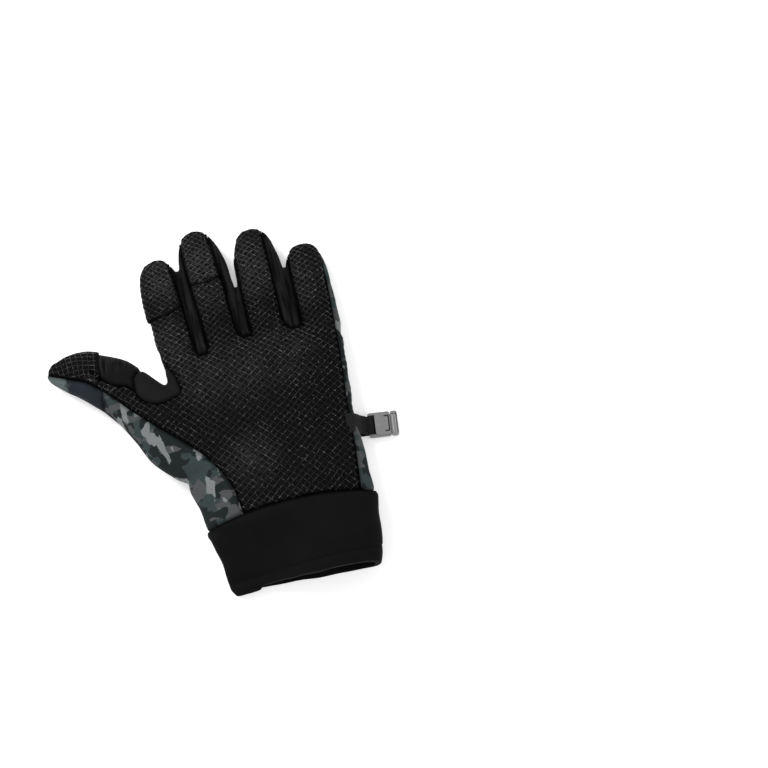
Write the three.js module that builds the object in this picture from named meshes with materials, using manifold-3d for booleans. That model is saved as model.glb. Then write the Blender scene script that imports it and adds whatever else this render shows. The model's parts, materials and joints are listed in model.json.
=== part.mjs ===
// A left-hand fishing glove lying palm up on its camouflage back.
// Millimetres, +Z up out of the palm, +Y towards the fingertips, +X towards the little finger.
// The origin is on the flat underside of the back, below the middle of the palm.

import * as THREE from "three";
import { mergeVertices } from "three/addons/utils/BufferGeometryUtils.js";
import Module from "manifold-3d";

const wasm = await Module();
wasm.setup();

// Palm and back
const handBreadth = 113;
const palmLength = 118; // cuff seam to finger crotches
const originAlong = 0.542; // share of the palm length that lies below the origin
const palmDepth = 30;
const clothWall = 1.8;
const restSink = 1.2; // how far the soft underside is pressed flat

// Fingers
const fingerReach = 97.5; // middle finger, from its root inside the palm
const fingerDepth = 21;
const sideSeamHeight = 8.5; // where the front and the side strips meet the back
const crotchRise = 5; // from the bottom of a crotch to where its strips run straight

// Thumb
const thumbReach = 131;
const thumbDepth = 27;
const thumbBreadth = 44;
const thumbTipPoint = 12; // how far the cap's outline runs on past the tip

// Slit finger ends that lap over the finger fronts
const capProud = 1.7;
const capLap = 9;

// Cuff
const cuffLength = 44.8;
const cuffDepth = 31;
const cuffWall = 2.6;
const cuffPinch = 9.5; // height of the pressed corner on the thumb side
const cuffSeamArch = 6.5; // how far the seam rises over the palm
const hemWidth = 11;
const hemThicker = 0.8;
const mouthSetBack = 2; // the upper layer's mouth lies this far back from the lower one's
const mouthSlant = 6.2; // and the thumb side's this far back from the little finger's
const mouthCorner = 3; // but the pressed corner itself sticks out again by this much
const mouthCornerReach = 6.4;

// Strap and buckle
const strapWidth = 12;
const strapThickness = 1.2;
const strapTurn = -7; // degrees that the strap is turned from square to the glove
const strapRun = 7.5; // clear strap between the glove's edge and the buckle
const strapReturn = 9; // length folded back under itself behind the bar
const socketLength = 14.2;
const socketRail = 1.5; // thickness of the rails beside the strap
const plateStart = 4.3; // rails show past the plate by this much
const plateThickness = 1.3;
const socketFloor = 1.4;
const strapBar = 1.5; // breadth of the bar that the strap turns round
const strapBarHeight = 1.3;
const tongueReach = 6.2; // how far the tongue goes into the socket
const tongueFrame = 4.6; // length of the tongue outside the socket
const tongueBars = 1.1;
const tongueSlot = 0.8; // the narrow slot between the tongue's first two bars
const endBarHeight = 2.4;
const slideClearance = 0.3; // between the tongue and the socket
const buckleCorner = 1.4;

// Between sewn pieces and between fastened ones
const seamGap = 0.3;

// A finger's row holds its root and its breadth as shares of handBreadth, its length as a share
// of fingerReach, its heading at root and tip in degrees from +X, how much its middle swells, the
// printed front's edges as shares of its half breadth, and for a slit end where the slit runs at
// the left, middle and right, as shares of its length.
const fingers = [
  {
    name: "index", root: -0.4065, breadth: 0.253, length: 0.86, headingRoot: 91.5, headingTip: 96,
    swell: 1.02, faceLeft: -1.6, faceRight: 0.64, slit: [0.535, 0.52, 0.57],
  },
  {
    name: "middle", root: -0.1495, breadth: 0.277, length: 1.01, headingRoot: 92.75, headingTip: 94.5,
    swell: 1.04, faceLeft: -0.69, faceRight: 0.6, slit: [0.62, 0.6, 0.62],
  },
  {
    name: "ring", root: 0.124, breadth: 0.272, length: 0.935, headingRoot: 90, headingTip: 89.5,
    swell: 1.06, faceLeft: -0.88, faceRight: 0.49,
  },
  {
    name: "little", root: 0.388, breadth: 0.248, length: 0.75, headingRoot: 90, headingTip: 89,
    swell: 1.0, faceLeft: -0.75, faceRight: 0.84,
  },
];
const fingerShares = [0, 0.22, 0.4, 0.56, 0.7, 0.81, 0.89, 0.945, 0.975, 0.995]; // stations
const fingerRootAlong = 0.847; // share of palmLength from the cuff seam
const fingerRootShare = 0.8; // breadth of a finger's root, buried in the palm
const fingerTipStart = 0.57; // where a finger starts to round off, as a share of its length
const fingerTipPower = 2.7;
const fingerCrease = 0.045; // share of its depth that a finger is pinched at its two joints
const fingerThinning = 0.14; // share of its depth that a finger loses towards its tip
const crotchShares = [0.955, 1.003, 0.99]; // share of palmLength, between each pair of fingers
const crotchBreadth = 0.6; // of its width higher up, at the bottom of a crotch
const straightFrom = 0.62; // past this share of a finger its seams run straight on

// The thumb's rows walk along its middle from a root inside the palm: each step is a share of
// thumbReach, heading in degrees, breadth and depth as shares of the thumb's own, and seam is
// where the camouflage meets the printed front, as a share of the half breadth.
const thumbRoot = { across: -0.36, along: -0.2 };
const thumbRows = [
  { step: 0, heading: 117, breadth: 0.84, depth: 1, seam: -0.2 },
  { step: 0.1, heading: 123.5, breadth: 1.06, depth: 1, seam: -0.2 },
  { step: 0.13, heading: 129.5, breadth: 1.14, depth: 1, seam: -0.2 },
  { step: 0.165, heading: 129, breadth: 0.945, depth: 0.95, seam: -0.31 },
  { step: 0.136, heading: 129.5, breadth: 0.827, depth: 0.87, seam: -0.41 },
  { step: 0.16, heading: 140.5, breadth: 0.787, depth: 0.83, seam: -0.41 },
  { step: 0.096, heading: 153.5, breadth: 0.702, depth: 0.78, seam: -0.36 },
  { step: 0.082, heading: 161, breadth: 0.594, depth: 0.68, seam: -0.38 },
  { step: 0.065, heading: 164, breadth: 0.4, depth: 0.5, seam: -0.36 },
  { step: 0.045, heading: 163, breadth: 0.25, depth: 0.33, seam: -0.36 },
  { step: 0.02, heading: 163, breadth: 0.12, depth: 0.15, seam: -0.36 },
];
const thumbTipLift = 0.6; // least share of thumbDepth that sets how high the tip lies
const thumbSlit = { seamSide: 0.705, middle: 0.73, innerSide: 0.775, middleSide: 0.2 };
const thumbLap = { middle: 0.7, middleSide: 0.1 }; // where the front would end without its lap
const thumbSeamStart = 0.36; // share at which the palm's thumb seam reaches the thumb

// Sections of the palm and back: along is a share of palmLength from the cuff seam, left and
// right are shares of handBreadth, depth is a share of palmDepth, and crown is how far the
// section bows towards the fingers at its middle, as a share of palmLength.
const palmSections = [
  { along: -0.1, left: -0.48, right: 0.468, depth: 1, crown: 0 },
  { along: 0.02, left: -0.484, right: 0.475, depth: 1, crown: 0 },
  { along: 0.12, left: -0.496, right: 0.47, depth: 1, crown: 0 },
  { along: 0.254, left: -0.53, right: 0.471, depth: 1, crown: 0 },
  { along: 0.36, left: -0.526, right: 0.466, depth: 0.99, crown: 0 },
  { along: 0.46, left: -0.531, right: 0.464, depth: 0.96, crown: 0 },
  { along: 0.57, left: -0.531, right: 0.476, depth: 0.94, crown: 0 },
  { along: 0.68, left: -0.529, right: 0.486, depth: 0.91, crown: 0.01 },
  { along: 0.79, left: -0.527, right: 0.494, depth: 0.87, crown: 0.03 },
  { along: 0.87, left: -0.527, right: 0.504, depth: 0.82, crown: 0.055 },
  { along: 0.92, left: -0.528, right: 0.49, depth: 0.74, crown: 0.07 },
  { along: 0.955, left: -0.49, right: 0.465, depth: 0.62, crown: 0.078 },
];
const palmPower = 2.7; // how square the palm's section is
const limbPower = 2.3;
const seamArchReach = 0.475; // share of handBreadth at which the cuff's seam is low again

// Soft hollows pressed into the palm: place as for the sections, radius and depth as shares of
// handBreadth and palmDepth.
const hollows = [
  { across: -0.03, along: 0.52, radius: 0.24, depth: 0.11 },
  { across: -0.36, along: 0.66, radius: 0.13, depth: 0.12 },
  { across: -0.27, along: 0.88, radius: 0.09, depth: 0.1 },
  { across: 0.0, along: 0.93, radius: 0.09, depth: 0.1 },
  { across: 0.25, along: 0.92, radius: 0.09, depth: 0.1 },
  { across: -0.22, along: 0.2, radius: 0.12, depth: 0.07 },
];

// Where the camouflage shows beside the printed palm, as shares of handBreadth and palmLength.
const thumbSideSeam = [
  { across: -0.461, along: 0.457 },
  { across: -0.391, along: 0.382 },
  { across: -0.349, along: 0.316 },
  { across: -0.304, along: 0.238 },
  { across: -0.281, along: 0.166 },
  { across: -0.262, along: 0.03 },
];
const littleSideSeam = [
  { across: 0.47, along: 0.84 },
  { across: 0.455, along: 0.66 },
  { across: 0.44, along: 0.53 },
  { across: 0.432, along: 0.415 },
  { across: 0.425, along: 0.3 },
  { across: 0.413, along: 0.177 },
  { across: 0.394, along: 0.01 },
];

// The smooth patch in the crotch of the thumb: its edge on the palm, and where it starts and ends
// on the thumb and on the index finger, as shares of their lengths and half breadths.
const patchOnPalm = [
  { across: -0.455, along: 0.78 },
  { across: -0.51, along: 0.752 },
  { across: -0.58, along: 0.736 },
];
const patchOnIndex = [
  { share: 0.255, side: -1.02 },
  { share: 0.17, side: -0.87 },
  { share: 0.03, side: -0.62 },
];
const patchOnThumb = [
  { share: 0.487, side: 0.12 },
  { share: 0.53, side: 0.23 },
  { share: 0.575, side: 0.52 },
  { share: 0.59, side: 0.98 },
];
const gussetOnThumb = [
  { share: 0.57, side: 0.2 },
  { share: 0.645, side: -0.06 },
];
const pastSide = 1.5; // a cut that runs out past a limb's edge ends this many half breadths away
const capSettles = 0.8; // share of a cap's length by which it lies flat on the finger
const indexSeamEnds = 0.45; // share of the index finger up to which its outer seam is cut

const cuffSections = [
  { along: 0, left: -0.492, right: 0.482, depth: 1, pinch: 0 },
  { along: 0.12, left: -0.476, right: 0.474, depth: 0.99, pinch: 0.15 },
  { along: 0.28, left: -0.463, right: 0.462, depth: 0.98, pinch: 0.35 },
  { along: 0.45, left: -0.451, right: 0.454, depth: 0.98, pinch: 0.6 },
  { along: 0.62, left: -0.447, right: 0.443, depth: 0.98, pinch: 0.85 },
  { along: 0.76, left: -0.442, right: 0.434, depth: 0.98, pinch: 0.97 },
  { along: 0.88, left: -0.434, right: 0.423, depth: 0.97, pinch: 1 },
  { along: 1, left: -0.409, right: 0.407, depth: 0.95, pinch: 1 },
];
const mouthStarts = 0.6; // share of the cuff's length from which it leans towards its mouth
const pinchSpan = { closed: -0.75, open: 0.35 }; // shares of the cuff's half breadth

// The strap's path down the side of the hand, by its place out from the hand's edge as a share of
// strapRun and its height as a share of palmDepth.
const strapDrape = [
  { out: -0.867, height: 0.76 },
  { out: -0.333, height: 0.695 },
  { out: 0.08, height: 0.56 },
  { out: 0.347, height: 0.38 },
  { out: 0.747, height: 0.22 },
];
const strapLeaves = { across: 0.46, along: 0.384 };

const limbSides = 18;
const palmSides = 30;
const highAbove = palmDepth * 3; // cutters reach this far above and below the glove
const farOut = handBreadth * 3; // and this far round it
const finest = 0.03; // edges left by a cut that are shorter than this are merged
const thinnest = 0.4; // a hollow ends where its half breadth or half depth is less

const lerp = THREE.MathUtils.lerp;
const clamp = THREE.MathUtils.clamp;
const radians = THREE.MathUtils.degToRad;
const smooth = (value, low, high) => THREE.MathUtils.smoothstep(value, low, high);

const across = (share) => share * handBreadth;
const along = (share) => (share - originAlong) * palmLength;
const palmPoint = (row) => new THREE.Vector2(across(row.across), along(row.along));

// Solids

function solid(geometry) {
  geometry.deleteAttribute("normal");
  geometry.deleteAttribute("uv");
  const merged = mergeVertices(geometry, 1e-4);
  return new wasm.Manifold(
    new wasm.Mesh({
      numProp: 3,
      vertProperties: new Float32Array(merged.attributes.position.array),
      triVerts: new Uint32Array(merged.index.array),
      tolerance: finest,
    }),
  );
}

function unite(solids) {
  return solids.reduce((whole, next) => whole.add(next));
}

function piece(name, body, material) {
  const cut = body.getMesh();
  const geometry = new THREE.BufferGeometry();
  geometry.setAttribute("position", new THREE.BufferAttribute(cut.vertProperties, 3));
  geometry.setIndex(new THREE.BufferAttribute(cut.triVerts, 1));
  const mesh = new THREE.Mesh(geometry, material);
  mesh.name = name;
  return mesh;
}

// A closed tube through rings of points, with each end closed from its top to its bottom half.
function loft(rings) {
  const sides = rings[0].length;
  const positions = rings.flat().flatMap((point) => [point.x, point.y, point.z]);
  const faces = [];
  for (let first = 0; first < (rings.length - 1) * sides; first += sides) {
    for (let i = 0; i < sides; i++) {
      const a = first + i;
      const b = first + ((i + 1) % sides);
      faces.push(a, b, b + sides, a, b + sides, a + sides);
    }
  }
  const last = (rings.length - 1) * sides;
  for (let i = 0; i < sides / 2 - 1; i++) {
    const [a, b, c, d] = [i, i + 1, sides - 2 - i, sides - 1 - i];
    faces.push(a, c, b, a, d, c);
    faces.push(last + a, last + b, last + c, last + a, last + c, last + d);
  }
  const geometry = new THREE.BufferGeometry();
  geometry.setAttribute("position", new THREE.Float32BufferAttribute(positions, 3));
  geometry.setIndex(faces);
  const body = solid(geometry);
  if (body.volume() > 0) return body;
  geometry.setIndex(faces.reverse());
  return solid(geometry);
}

// The space over a plan outline, from one height up to another.
function prism(outline, low, high = highAbove) {
  const geometry = new THREE.ExtrudeGeometry(new THREE.Shape(outline), {
    depth: high - low,
    bevelEnabled: false,
  });
  geometry.translate(0, 0, low);
  return solid(geometry);
}

// An outline moved outwards, or inwards by a negative distance, with its corners mitred.
function grow(outline, distance) {
  const turn = Math.sign(THREE.ShapeUtils.area(outline)) * distance;
  const normal = (from, to) => new THREE.Vector2(to.y - from.y, from.x - to.x).normalize();
  return outline.map((point, i) => {
    const before = normal(outline[(i + outline.length - 1) % outline.length], point);
    const after = normal(point, outline[(i + 1) % outline.length]);
    const mitre = before.clone().add(after).divideScalar(Math.max(1 + before.dot(after), 0.5));
    return point.clone().addScaledVector(mitre, turn);
  });
}

function roundedRectangle(left, bottom, right, top, radius) {
  const shape = new THREE.Shape();
  shape.absarc(right - radius, top - radius, radius, 0, Math.PI / 2);
  shape.absarc(left + radius, top - radius, radius, Math.PI / 2, Math.PI);
  shape.absarc(left + radius, bottom + radius, radius, Math.PI, Math.PI * 1.5);
  shape.absarc(right - radius, bottom + radius, radius, Math.PI * 1.5, Math.PI * 2);
  return shape.getPoints(3);
}

// Sections

// How far the top of the palm is pressed in at a place.
function hollowAt(x, y) {
  let depth = 0;
  for (const row of hollows) {
    const centre = palmPoint(row);
    const distance = Math.hypot(x - centre.x, y - centre.y) / across(row.radius);
    depth += row.depth * palmDepth * Math.exp(-distance * distance);
  }
  return depth;
}

// A flattened oval ring about a centre, its top shaped by a function of place.
function ring(centre, heading, halfBreadth, halfDepth, sides, power, shapeTop) {
  const side = new THREE.Vector2(Math.sin(radians(heading)), -Math.cos(radians(heading)));
  const bend = (value) => Math.sign(value) * Math.pow(Math.abs(value), 2 / power);
  return Array.from({ length: sides }, (_, i) => {
    const angle = ((i + 0.5) / sides) * Math.PI * 2;
    const share = bend(Math.cos(angle));
    const rise = bend(Math.sin(angle));
    const x = centre.x + side.x * halfBreadth * share;
    const y = centre.y + side.y * halfBreadth * share;
    return new THREE.Vector3(x, y, centre.z + halfDepth * rise + shapeTop(x, y, share, rise));
  });
}

// What lies above a height: soft undersides are pressed flat where they rest.
function above(height, body) {
  const corners = [[-1, -1], [1, -1], [1, 1], [-1, 1]];
  const ground = corners.map(([x, y]) => new THREE.Vector2(x * farOut, y * farOut));
  return body.subtract(prism(ground, -highAbove, height));
}

const pressTop = (x, y, share, rise) => -hollowAt(x, y) * Math.max(rise, 0);

// A limb is a list of stations along its middle, each with its place, heading and half sizes.
function walk(rows) {
  const stations = [];
  const point = rows[0].start.clone();
  let previous = rows[0];
  for (const row of rows) {
    const heading = radians((previous.heading + row.heading) / 2);
    point.x += Math.cos(heading) * row.step;
    point.y += Math.sin(heading) * row.step;
    stations.push({ ...row, x: point.x, y: point.y });
    previous = row;
  }
  const total = rows.reduce((sum, row) => sum + row.step, 0);
  let passed = 0;
  for (const station of stations) {
    passed += station.step;
    station.share = passed / total;
  }
  return { stations, total };
}

function tipRound(share) {
  const past = clamp((share - fingerTipStart) / (1 - fingerTipStart), 0, 1);
  return Math.pow(1 - Math.pow(past, fingerTipPower), 1 / fingerTipPower);
}

function fingerLimb(row) {
  const length = row.length * fingerReach;
  const start = new THREE.Vector2(across(row.root), along(fingerRootAlong));
  return walk(
    fingerShares.map((share, i) => {
      const swell = 1 + (row.swell - 1) * Math.sin(Math.PI * share);
      const root = lerp(fingerRootShare, 1, smooth(share, 0, fingerShares[1]));
      const joints = 1 + fingerCrease * Math.cos(share * Math.PI * 5);
      return {
        start,
        step: (share - (fingerShares[i - 1] ?? 0)) * length,
        heading: lerp(row.headingRoot, row.headingTip, share),
        halfBreadth: (across(row.breadth) / 2) * swell * root * tipRound(share),
        halfDepth: (fingerDepth / 2) * joints * (1 - fingerThinning * share) * tipRound(share),
        middle: (fingerDepth / 2) * (1 - fingerThinning * share) - restSink,
      };
    }),
  );
}

function thumbLimb() {
  const start = new THREE.Vector2(across(thumbRoot.across), thumbRoot.along * palmLength);
  return walk(
    thumbRows.map((row) => ({
      start,
      step: row.step * thumbReach,
      heading: row.heading,
      halfBreadth: (row.breadth * thumbBreadth) / 2,
      halfDepth: (row.depth * thumbDepth) / 2,
      middle: (Math.max(row.depth, thumbTipLift) * thumbDepth) / 2 - restSink,
      seam: row.seam,
    })),
  );
}

// The station at any share of a limb's length, between its listed ones.
function stationAt(limb, share) {
  const { stations } = limb;
  let i = 0;
  while (i < stations.length - 2 && stations[i + 1].share < share) i++;
  const [from, to] = [stations[i], stations[i + 1]];
  const part = (share - from.share) / (to.share - from.share);
  const mix = (key) => lerp(from[key], to[key], part);
  return {
    x: mix("x"),
    y: mix("y"),
    heading: mix("heading"),
    seam: mix("seam"),
    halfBreadth: Math.max(mix("halfBreadth"), 0),
  };
}

// A plan point at a share of a limb's length and a share of its half breadth to the side.
function limbPoint(limb, share, side) {
  const station = stationAt(limb, share);
  const heading = radians(station.heading);
  return new THREE.Vector2(
    station.x + Math.sin(heading) * station.halfBreadth * side,
    station.y - Math.cos(heading) * station.halfBreadth * side,
  );
}

// The limb as a solid: grown outwards by an amount for each share of its length, or shrunk by a
// wall all round to give the hollow inside it.
function limbSolid(limb, wall, growth = () => 0) {
  const rings = [];
  for (const station of limb.stations) {
    const fromTip = (1 - station.share) * limb.total;
    if (fromTip < wall) continue;
    const more = growth(station.share) - wall;
    const halfBreadth = station.halfBreadth + more;
    const halfDepth = station.halfDepth + more;
    if (Math.min(halfBreadth, halfDepth) < thinnest) continue;
    const inwards = rings.length === 0 ? wall : 0;
    const heading = radians(station.heading);
    const centre = new THREE.Vector3(
      station.x + Math.cos(heading) * inwards,
      station.y + Math.sin(heading) * inwards,
      station.middle,
    );
    rings.push(
      ring(centre, station.heading, halfBreadth, halfDepth, limbSides, limbPower, pressTop),
    );
  }
  return loft(rings);
}

function palmSolid(wall) {
  const rows = palmSections;
  return loft(
    rows.map((row, i) => {
      const last = i === rows.length - 1 ? wall : 0;
      const [left, right] = [across(row.left) + wall, across(row.right) - wall];
      const halfDepth = (row.depth * palmDepth) / 2 - wall;
      const middle = (row.depth * palmDepth) / 2 - restSink;
      const centre = new THREE.Vector3((left + right) / 2, along(row.along) - last, middle);
      const half = (right - left) / 2;
      const points = ring(centre, 90, half, halfDepth, palmSides, palmPower, pressTop);
      for (const point of points) {
        point.y += row.crown * palmLength * (1 - ((point.x - centre.x) / half) ** 2);
      }
      return points;
    }),
  );
}

const index = fingerLimb(fingers[0]);
const fingerLimbs = [index, ...fingers.slice(1).map(fingerLimb)];
const thumb = thumbLimb();
const limbs = [...fingerLimbs, thumb];
const handBody = (wall) => unite([palmSolid(wall), ...limbs.map((limb) => limbSolid(limb, wall))]);
const hollow = above(clothWall, handBody(clothWall));
const shell = above(0, handBody(0)).subtract(hollow);

// Plan outlines of the sewn pieces

const cuffSeam = along(0);
const seamReach = handBreadth * 0.8;
const littleEdge = across(littleSideSeam.at(-1).across);
const thumbEdge = across(thumbSideSeam.at(-1).across);

// The seam between palm and cuff rises over the middle of the palm and is straight underneath.
function seamHeightAt(x) {
  return cuffSeam + cuffSeamArch * Math.max(1 - (x / across(seamArchReach)) ** 2, 0);
}

function seamLine(from, to, steps) {
  return Array.from({ length: steps + 1 }, (_, i) => {
    const x = lerp(from, to, i / steps);
    return new THREE.Vector2(x, seamHeightAt(x));
  });
}

function fingerEdge(limb, side, from, to, steps) {
  return Array.from({ length: steps + 1 }, (_, i) => {
    const share = lerp(from, to, i / steps);
    return limbPoint(limb, share, side);
  });
}

// Past its tip a finger's edge runs straight on, so that a cut clears the rounded end.
function edgePastTip(limb, side) {
  const knuckle = limbPoint(limb, straightFrom, side);
  const onward = limbPoint(limb, straightFrom + 0.04, side).sub(knuckle).normalize();
  return knuckle.addScaledVector(onward, limb.total / 2);
}

// The bottom of the crotch between a finger and the next.
function crotch(i) {
  const right = limbPoint(fingerLimbs[i], fingerShares[1], 1);
  const left = limbPoint(fingerLimbs[i + 1], fingerShares[1], -1);
  return new THREE.Vector2((right.x + left.x) / 2, along(crotchShares[i]));
}

// One finger's printed front edge, from its crotch up to and past its tip.
function faceEdge(i, side) {
  const limb = fingerLimbs[i];
  const beside = crotchShares[side > 0 ? i : i - 1];
  const start = (along(beside) + crotchRise - limb.stations[0].y) / limb.total;
  return [...fingerEdge(limb, side, start, straightFrom, 4), edgePastTip(limb, side)];
}

function fourchetteOutline(i) {
  const bottom = crotch(i);
  const right = faceEdge(i + 1, fingers[i + 1].faceLeft);
  const left = faceEdge(i, fingers[i].faceRight);
  const half = ((right[0].x - left[0].x) / 2) * crotchBreadth;
  return [
    new THREE.Vector2(bottom.x - half, bottom.y),
    new THREE.Vector2(bottom.x + half, bottom.y),
    ...right,
    ...left.reverse(),
  ];
}

const beyondThumbTip = limbPoint(thumb, 1, 0).add(
  new THREE.Vector2(-thumbTipPoint, thumbTipPoint / 3),
);

function thumbSeamEdge(from, to, steps) {
  return Array.from({ length: steps + 1 }, (_, i) => {
    const share = lerp(from, to, i / steps);
    return limbPoint(thumb, share, stationAt(thumb, share).seam);
  });
}

const onLimb = (limb, rows) => rows.map((row) => limbPoint(limb, row.share, row.side));
const fourchettes = [0, 1, 2].map(fourchetteOutline);

const lapShare = capLap / thumb.total;
const frontEnd = limbPoint(thumb, thumbLap.middle + lapShare, thumbLap.middleSide);

const crotchPatch = [
  ...onLimb(index, patchOnIndex),
  ...patchOnPalm.map(palmPoint),
  ...onLimb(thumb, patchOnThumb),
  limbPoint(thumb, patchOnThumb.at(-1).share, pastSide),
  limbPoint(index, patchOnIndex[0].share, -pastSide),
];

const thumbGusset = [
  ...onLimb(thumb, patchOnThumb.slice(-3)),
  limbPoint(thumb, patchOnThumb.at(-1).share, pastSide),
  limbPoint(thumb, thumbSlit.innerSide + lapShare, pastSide),
  limbPoint(thumb, thumbSlit.innerSide + lapShare, 1),
  frontEnd,
  ...onLimb(thumb, gussetOnThumb).reverse(),
];

const thumbCapOutline = [
  limbPoint(thumb, thumbSlit.innerSide, pastSide),
  limbPoint(thumb, thumbSlit.innerSide, 1),
  limbPoint(thumb, thumbSlit.middle, thumbSlit.middleSide),
  ...thumbSeamEdge(thumbSlit.seamSide, 0.98, 5),
  beyondThumbTip,
  limbPoint(thumb, 0.9, pastSide * 2),
];

function capOutline(i) {
  const row = fingers[i];
  const limb = fingerLimbs[i];
  const [left, middle, right] = row.slit;
  const faceMiddle = (Math.max(row.faceLeft, -1) + row.faceRight) / 2;
  return [
    limbPoint(limb, left, row.faceLeft),
    limbPoint(limb, middle, faceMiddle),
    limbPoint(limb, right, row.faceRight),
    edgePastTip(limb, row.faceRight),
    edgePastTip(limb, row.faceLeft),
  ];
}

// The printed front of a finger that has a slit end stops a lap's length past the slit.
function lobeEnd(i) {
  const row = fingers[i];
  const limb = fingerLimbs[i];
  if (!row.slit) return [edgePastTip(limb, row.faceLeft), edgePastTip(limb, row.faceRight)];
  const end = Math.max(...row.slit) + capLap / limb.total;
  return [limbPoint(limb, end, row.faceLeft), limbPoint(limb, end, row.faceRight)];
}

// The printed front of one finger, round its end and down the other side.
function lobe(i) {
  const { faceLeft, faceRight } = fingers[i];
  const first = i === 0;
  const last = i === fingers.length - 1;
  const left = first
    ? [limbPoint(index, indexSeamEnds, faceLeft)]
    : faceEdge(i, faceLeft).slice(0, -1);
  const right = last
    ? [limbPoint(fingerLimbs[i], straightFrom, faceRight)]
    : faceEdge(i, faceRight).slice(0, -1);
  return [...left, ...lobeEnd(i), ...right.reverse()];
}

const palmOutline = [
  ...seamLine(thumbEdge, littleEdge, 10),
  ...littleSideSeam.slice(0, -1).reverse().map(palmPoint),
  ...[3, 2, 1, 0].flatMap((i) => {
    const web = i > 0 ? fourchettes[i - 1].slice(0, 2).reverse() : [];
    return [...lobe(i).reverse(), ...web];
  }),
  limbPoint(index, patchOnIndex[0].share, -pastSide),
  ...onLimb(index, patchOnIndex),
  ...patchOnPalm.map(palmPoint),
  ...onLimb(thumb, patchOnThumb.slice(0, 2)),
  ...onLimb(thumb, gussetOnThumb),
  frontEnd,
  ...thumbSeamEdge(thumbSeamStart, thumbSlit.seamSide + lapShare, 5).reverse(),
  ...thumbSideSeam.slice(0, -1).map(palmPoint),
];

// Cutting the shell along the seams

const frontFloor = sideSeamHeight + seamGap / 2;
const backTop = sideSeamHeight - seamGap / 2;

// The plan area on one side of the seam between the hand and the cuff.
function seamSide(line, far) {
  return [...line, new THREE.Vector2(seamReach, far), new THREE.Vector2(-seamReach, far)];
}

const straightLine = (y) => [new THREE.Vector2(-seamReach, y), new THREE.Vector2(seamReach, y)];
const archedLine = seamLine(-seamReach, seamReach, 24);
const belowCuff = cuffSeam - cuffLength * 2;
const aboveCuff = cuffSeam + palmLength;
const cuffSpace = unite([
  prism(grow(seamSide(archedLine, belowCuff), seamGap / 2), backTop),
  prism(seamSide(straightLine(cuffSeam + seamGap / 2), belowCuff), -highAbove),
]);

const handShell = shell.subtract(cuffSpace);
const front = (outline) => handShell.intersect(prism(grow(outline, -seamGap / 2), frontFloor));
const frontSpace = [palmOutline, ...fourchettes, crotchPatch, thumbGusset, thumbCapOutline]
  .concat([capOutline(0), capOutline(1)])
  .map((outline) => prism(grow(outline, seamGap / 2), backTop));

const backPanel = handShell.subtract(unite(frontSpace));

// A slit end: the limb grown outwards by the cap's proud height at the slit and by less towards
// the tip, less the finger under it as far as the lap, and less the hollow past it.
function capSolid(limb, outline, slitShare, lapEnd) {
  const past = (share) => clamp((share - slitShare) / (1 - slitShare), 0, 1);
  const growth = (share) => lerp(capProud, seamGap, smooth(past(share), 0, capSettles));
  const under = limbSolid(limb, 0, () => seamGap).intersect(lapEnd);
  return limbSolid(limb, 0, growth)
    .intersect(prism(grow(outline, -seamGap / 2), frontFloor))
    .subtract(limbSolid(limb, clothWall))
    .subtract(under);
}

// Where the lapped front lies under a finger's cap.
function underCap(i) {
  const limb = fingerLimbs[i];
  const end = Math.max(...fingers[i].slit) + (capLap + seamGap) / limb.total;
  const corners = [[end, -pastSide], [0, -pastSide], [0, pastSide], [end, pastSide]];
  return prism(corners.map(([share, side]) => limbPoint(limb, share, side)), -highAbove);
}

const fingerCaps = [0, 1].map((i) =>
  capSolid(fingerLimbs[i], capOutline(i), Math.min(...fingers[i].slit), underCap(i)),
);
const lapEnd = lapShare + seamGap / thumb.total;
const underThumbCap = prism(
  [
    limbPoint(thumb, thumbSlit.innerSide + lapEnd, pastSide),
    limbPoint(thumb, thumbSlit.innerSide + lapEnd, 1),
    limbPoint(thumb, thumbLap.middle + lapEnd, thumbLap.middleSide),
    limbPoint(thumb, thumbSlit.seamSide + lapEnd, -0.5),
    limbPoint(thumb, thumbSeamStart, -pastSide),
    limbPoint(thumb, thumbSeamStart, pastSide),
  ],
  -highAbove,
);
const thumbCap = capSolid(thumb, thumbCapOutline, thumbSlit.seamSide, underThumbCap);

// Cuff

// One ring of the cuff. Its top sinks towards the thumb side, where the mouth is pressed together.
function cuffRing(row, wall) {
  const [left, right] = [across(row.left), across(row.right)];
  const halfDepth = (row.depth * cuffDepth) / 2;
  const y = cuffSeam - row.along * cuffLength;
  const centre = new THREE.Vector3((left + right) / 2, y, halfDepth - restSink);
  const closed = cuffPinch / (halfDepth * 2 - restSink);
  const pinched = (x, _, share, rise) => {
    const height = Math.max(centre.z + halfDepth * rise, 0);
    const open = smooth(share, pinchSpan.closed, pinchSpan.open);
    return -height * (1 - lerp(closed, 1, open)) * row.pinch;
  };
  const half = (right - left) / 2;
  const points = ring(centre, 90, half, halfDepth, palmSides, palmPower, pinched);
  if (wall === 0) return points;
  const section = points.map((point) => new THREE.Vector2(point.x, point.z));
  return grow(section, -wall).map((point) => new THREE.Vector3(point.x, y, point.y));
}

// How far a point near the mouth is moved towards the hand.
function mouthShift(point, row) {
  const [left, right] = [across(row.left), across(row.right)];
  const back = mouthSetBack * smooth(point.z, 2, cuffDepth);
  const slant = mouthSlant * (1 - (point.x - left) / (right - left));
  const corner = mouthCorner * Math.exp(-(((point.x - left) / mouthCornerReach) ** 2));
  return smooth(row.along, mouthStarts, 1) * (back + slant - corner);
}

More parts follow.
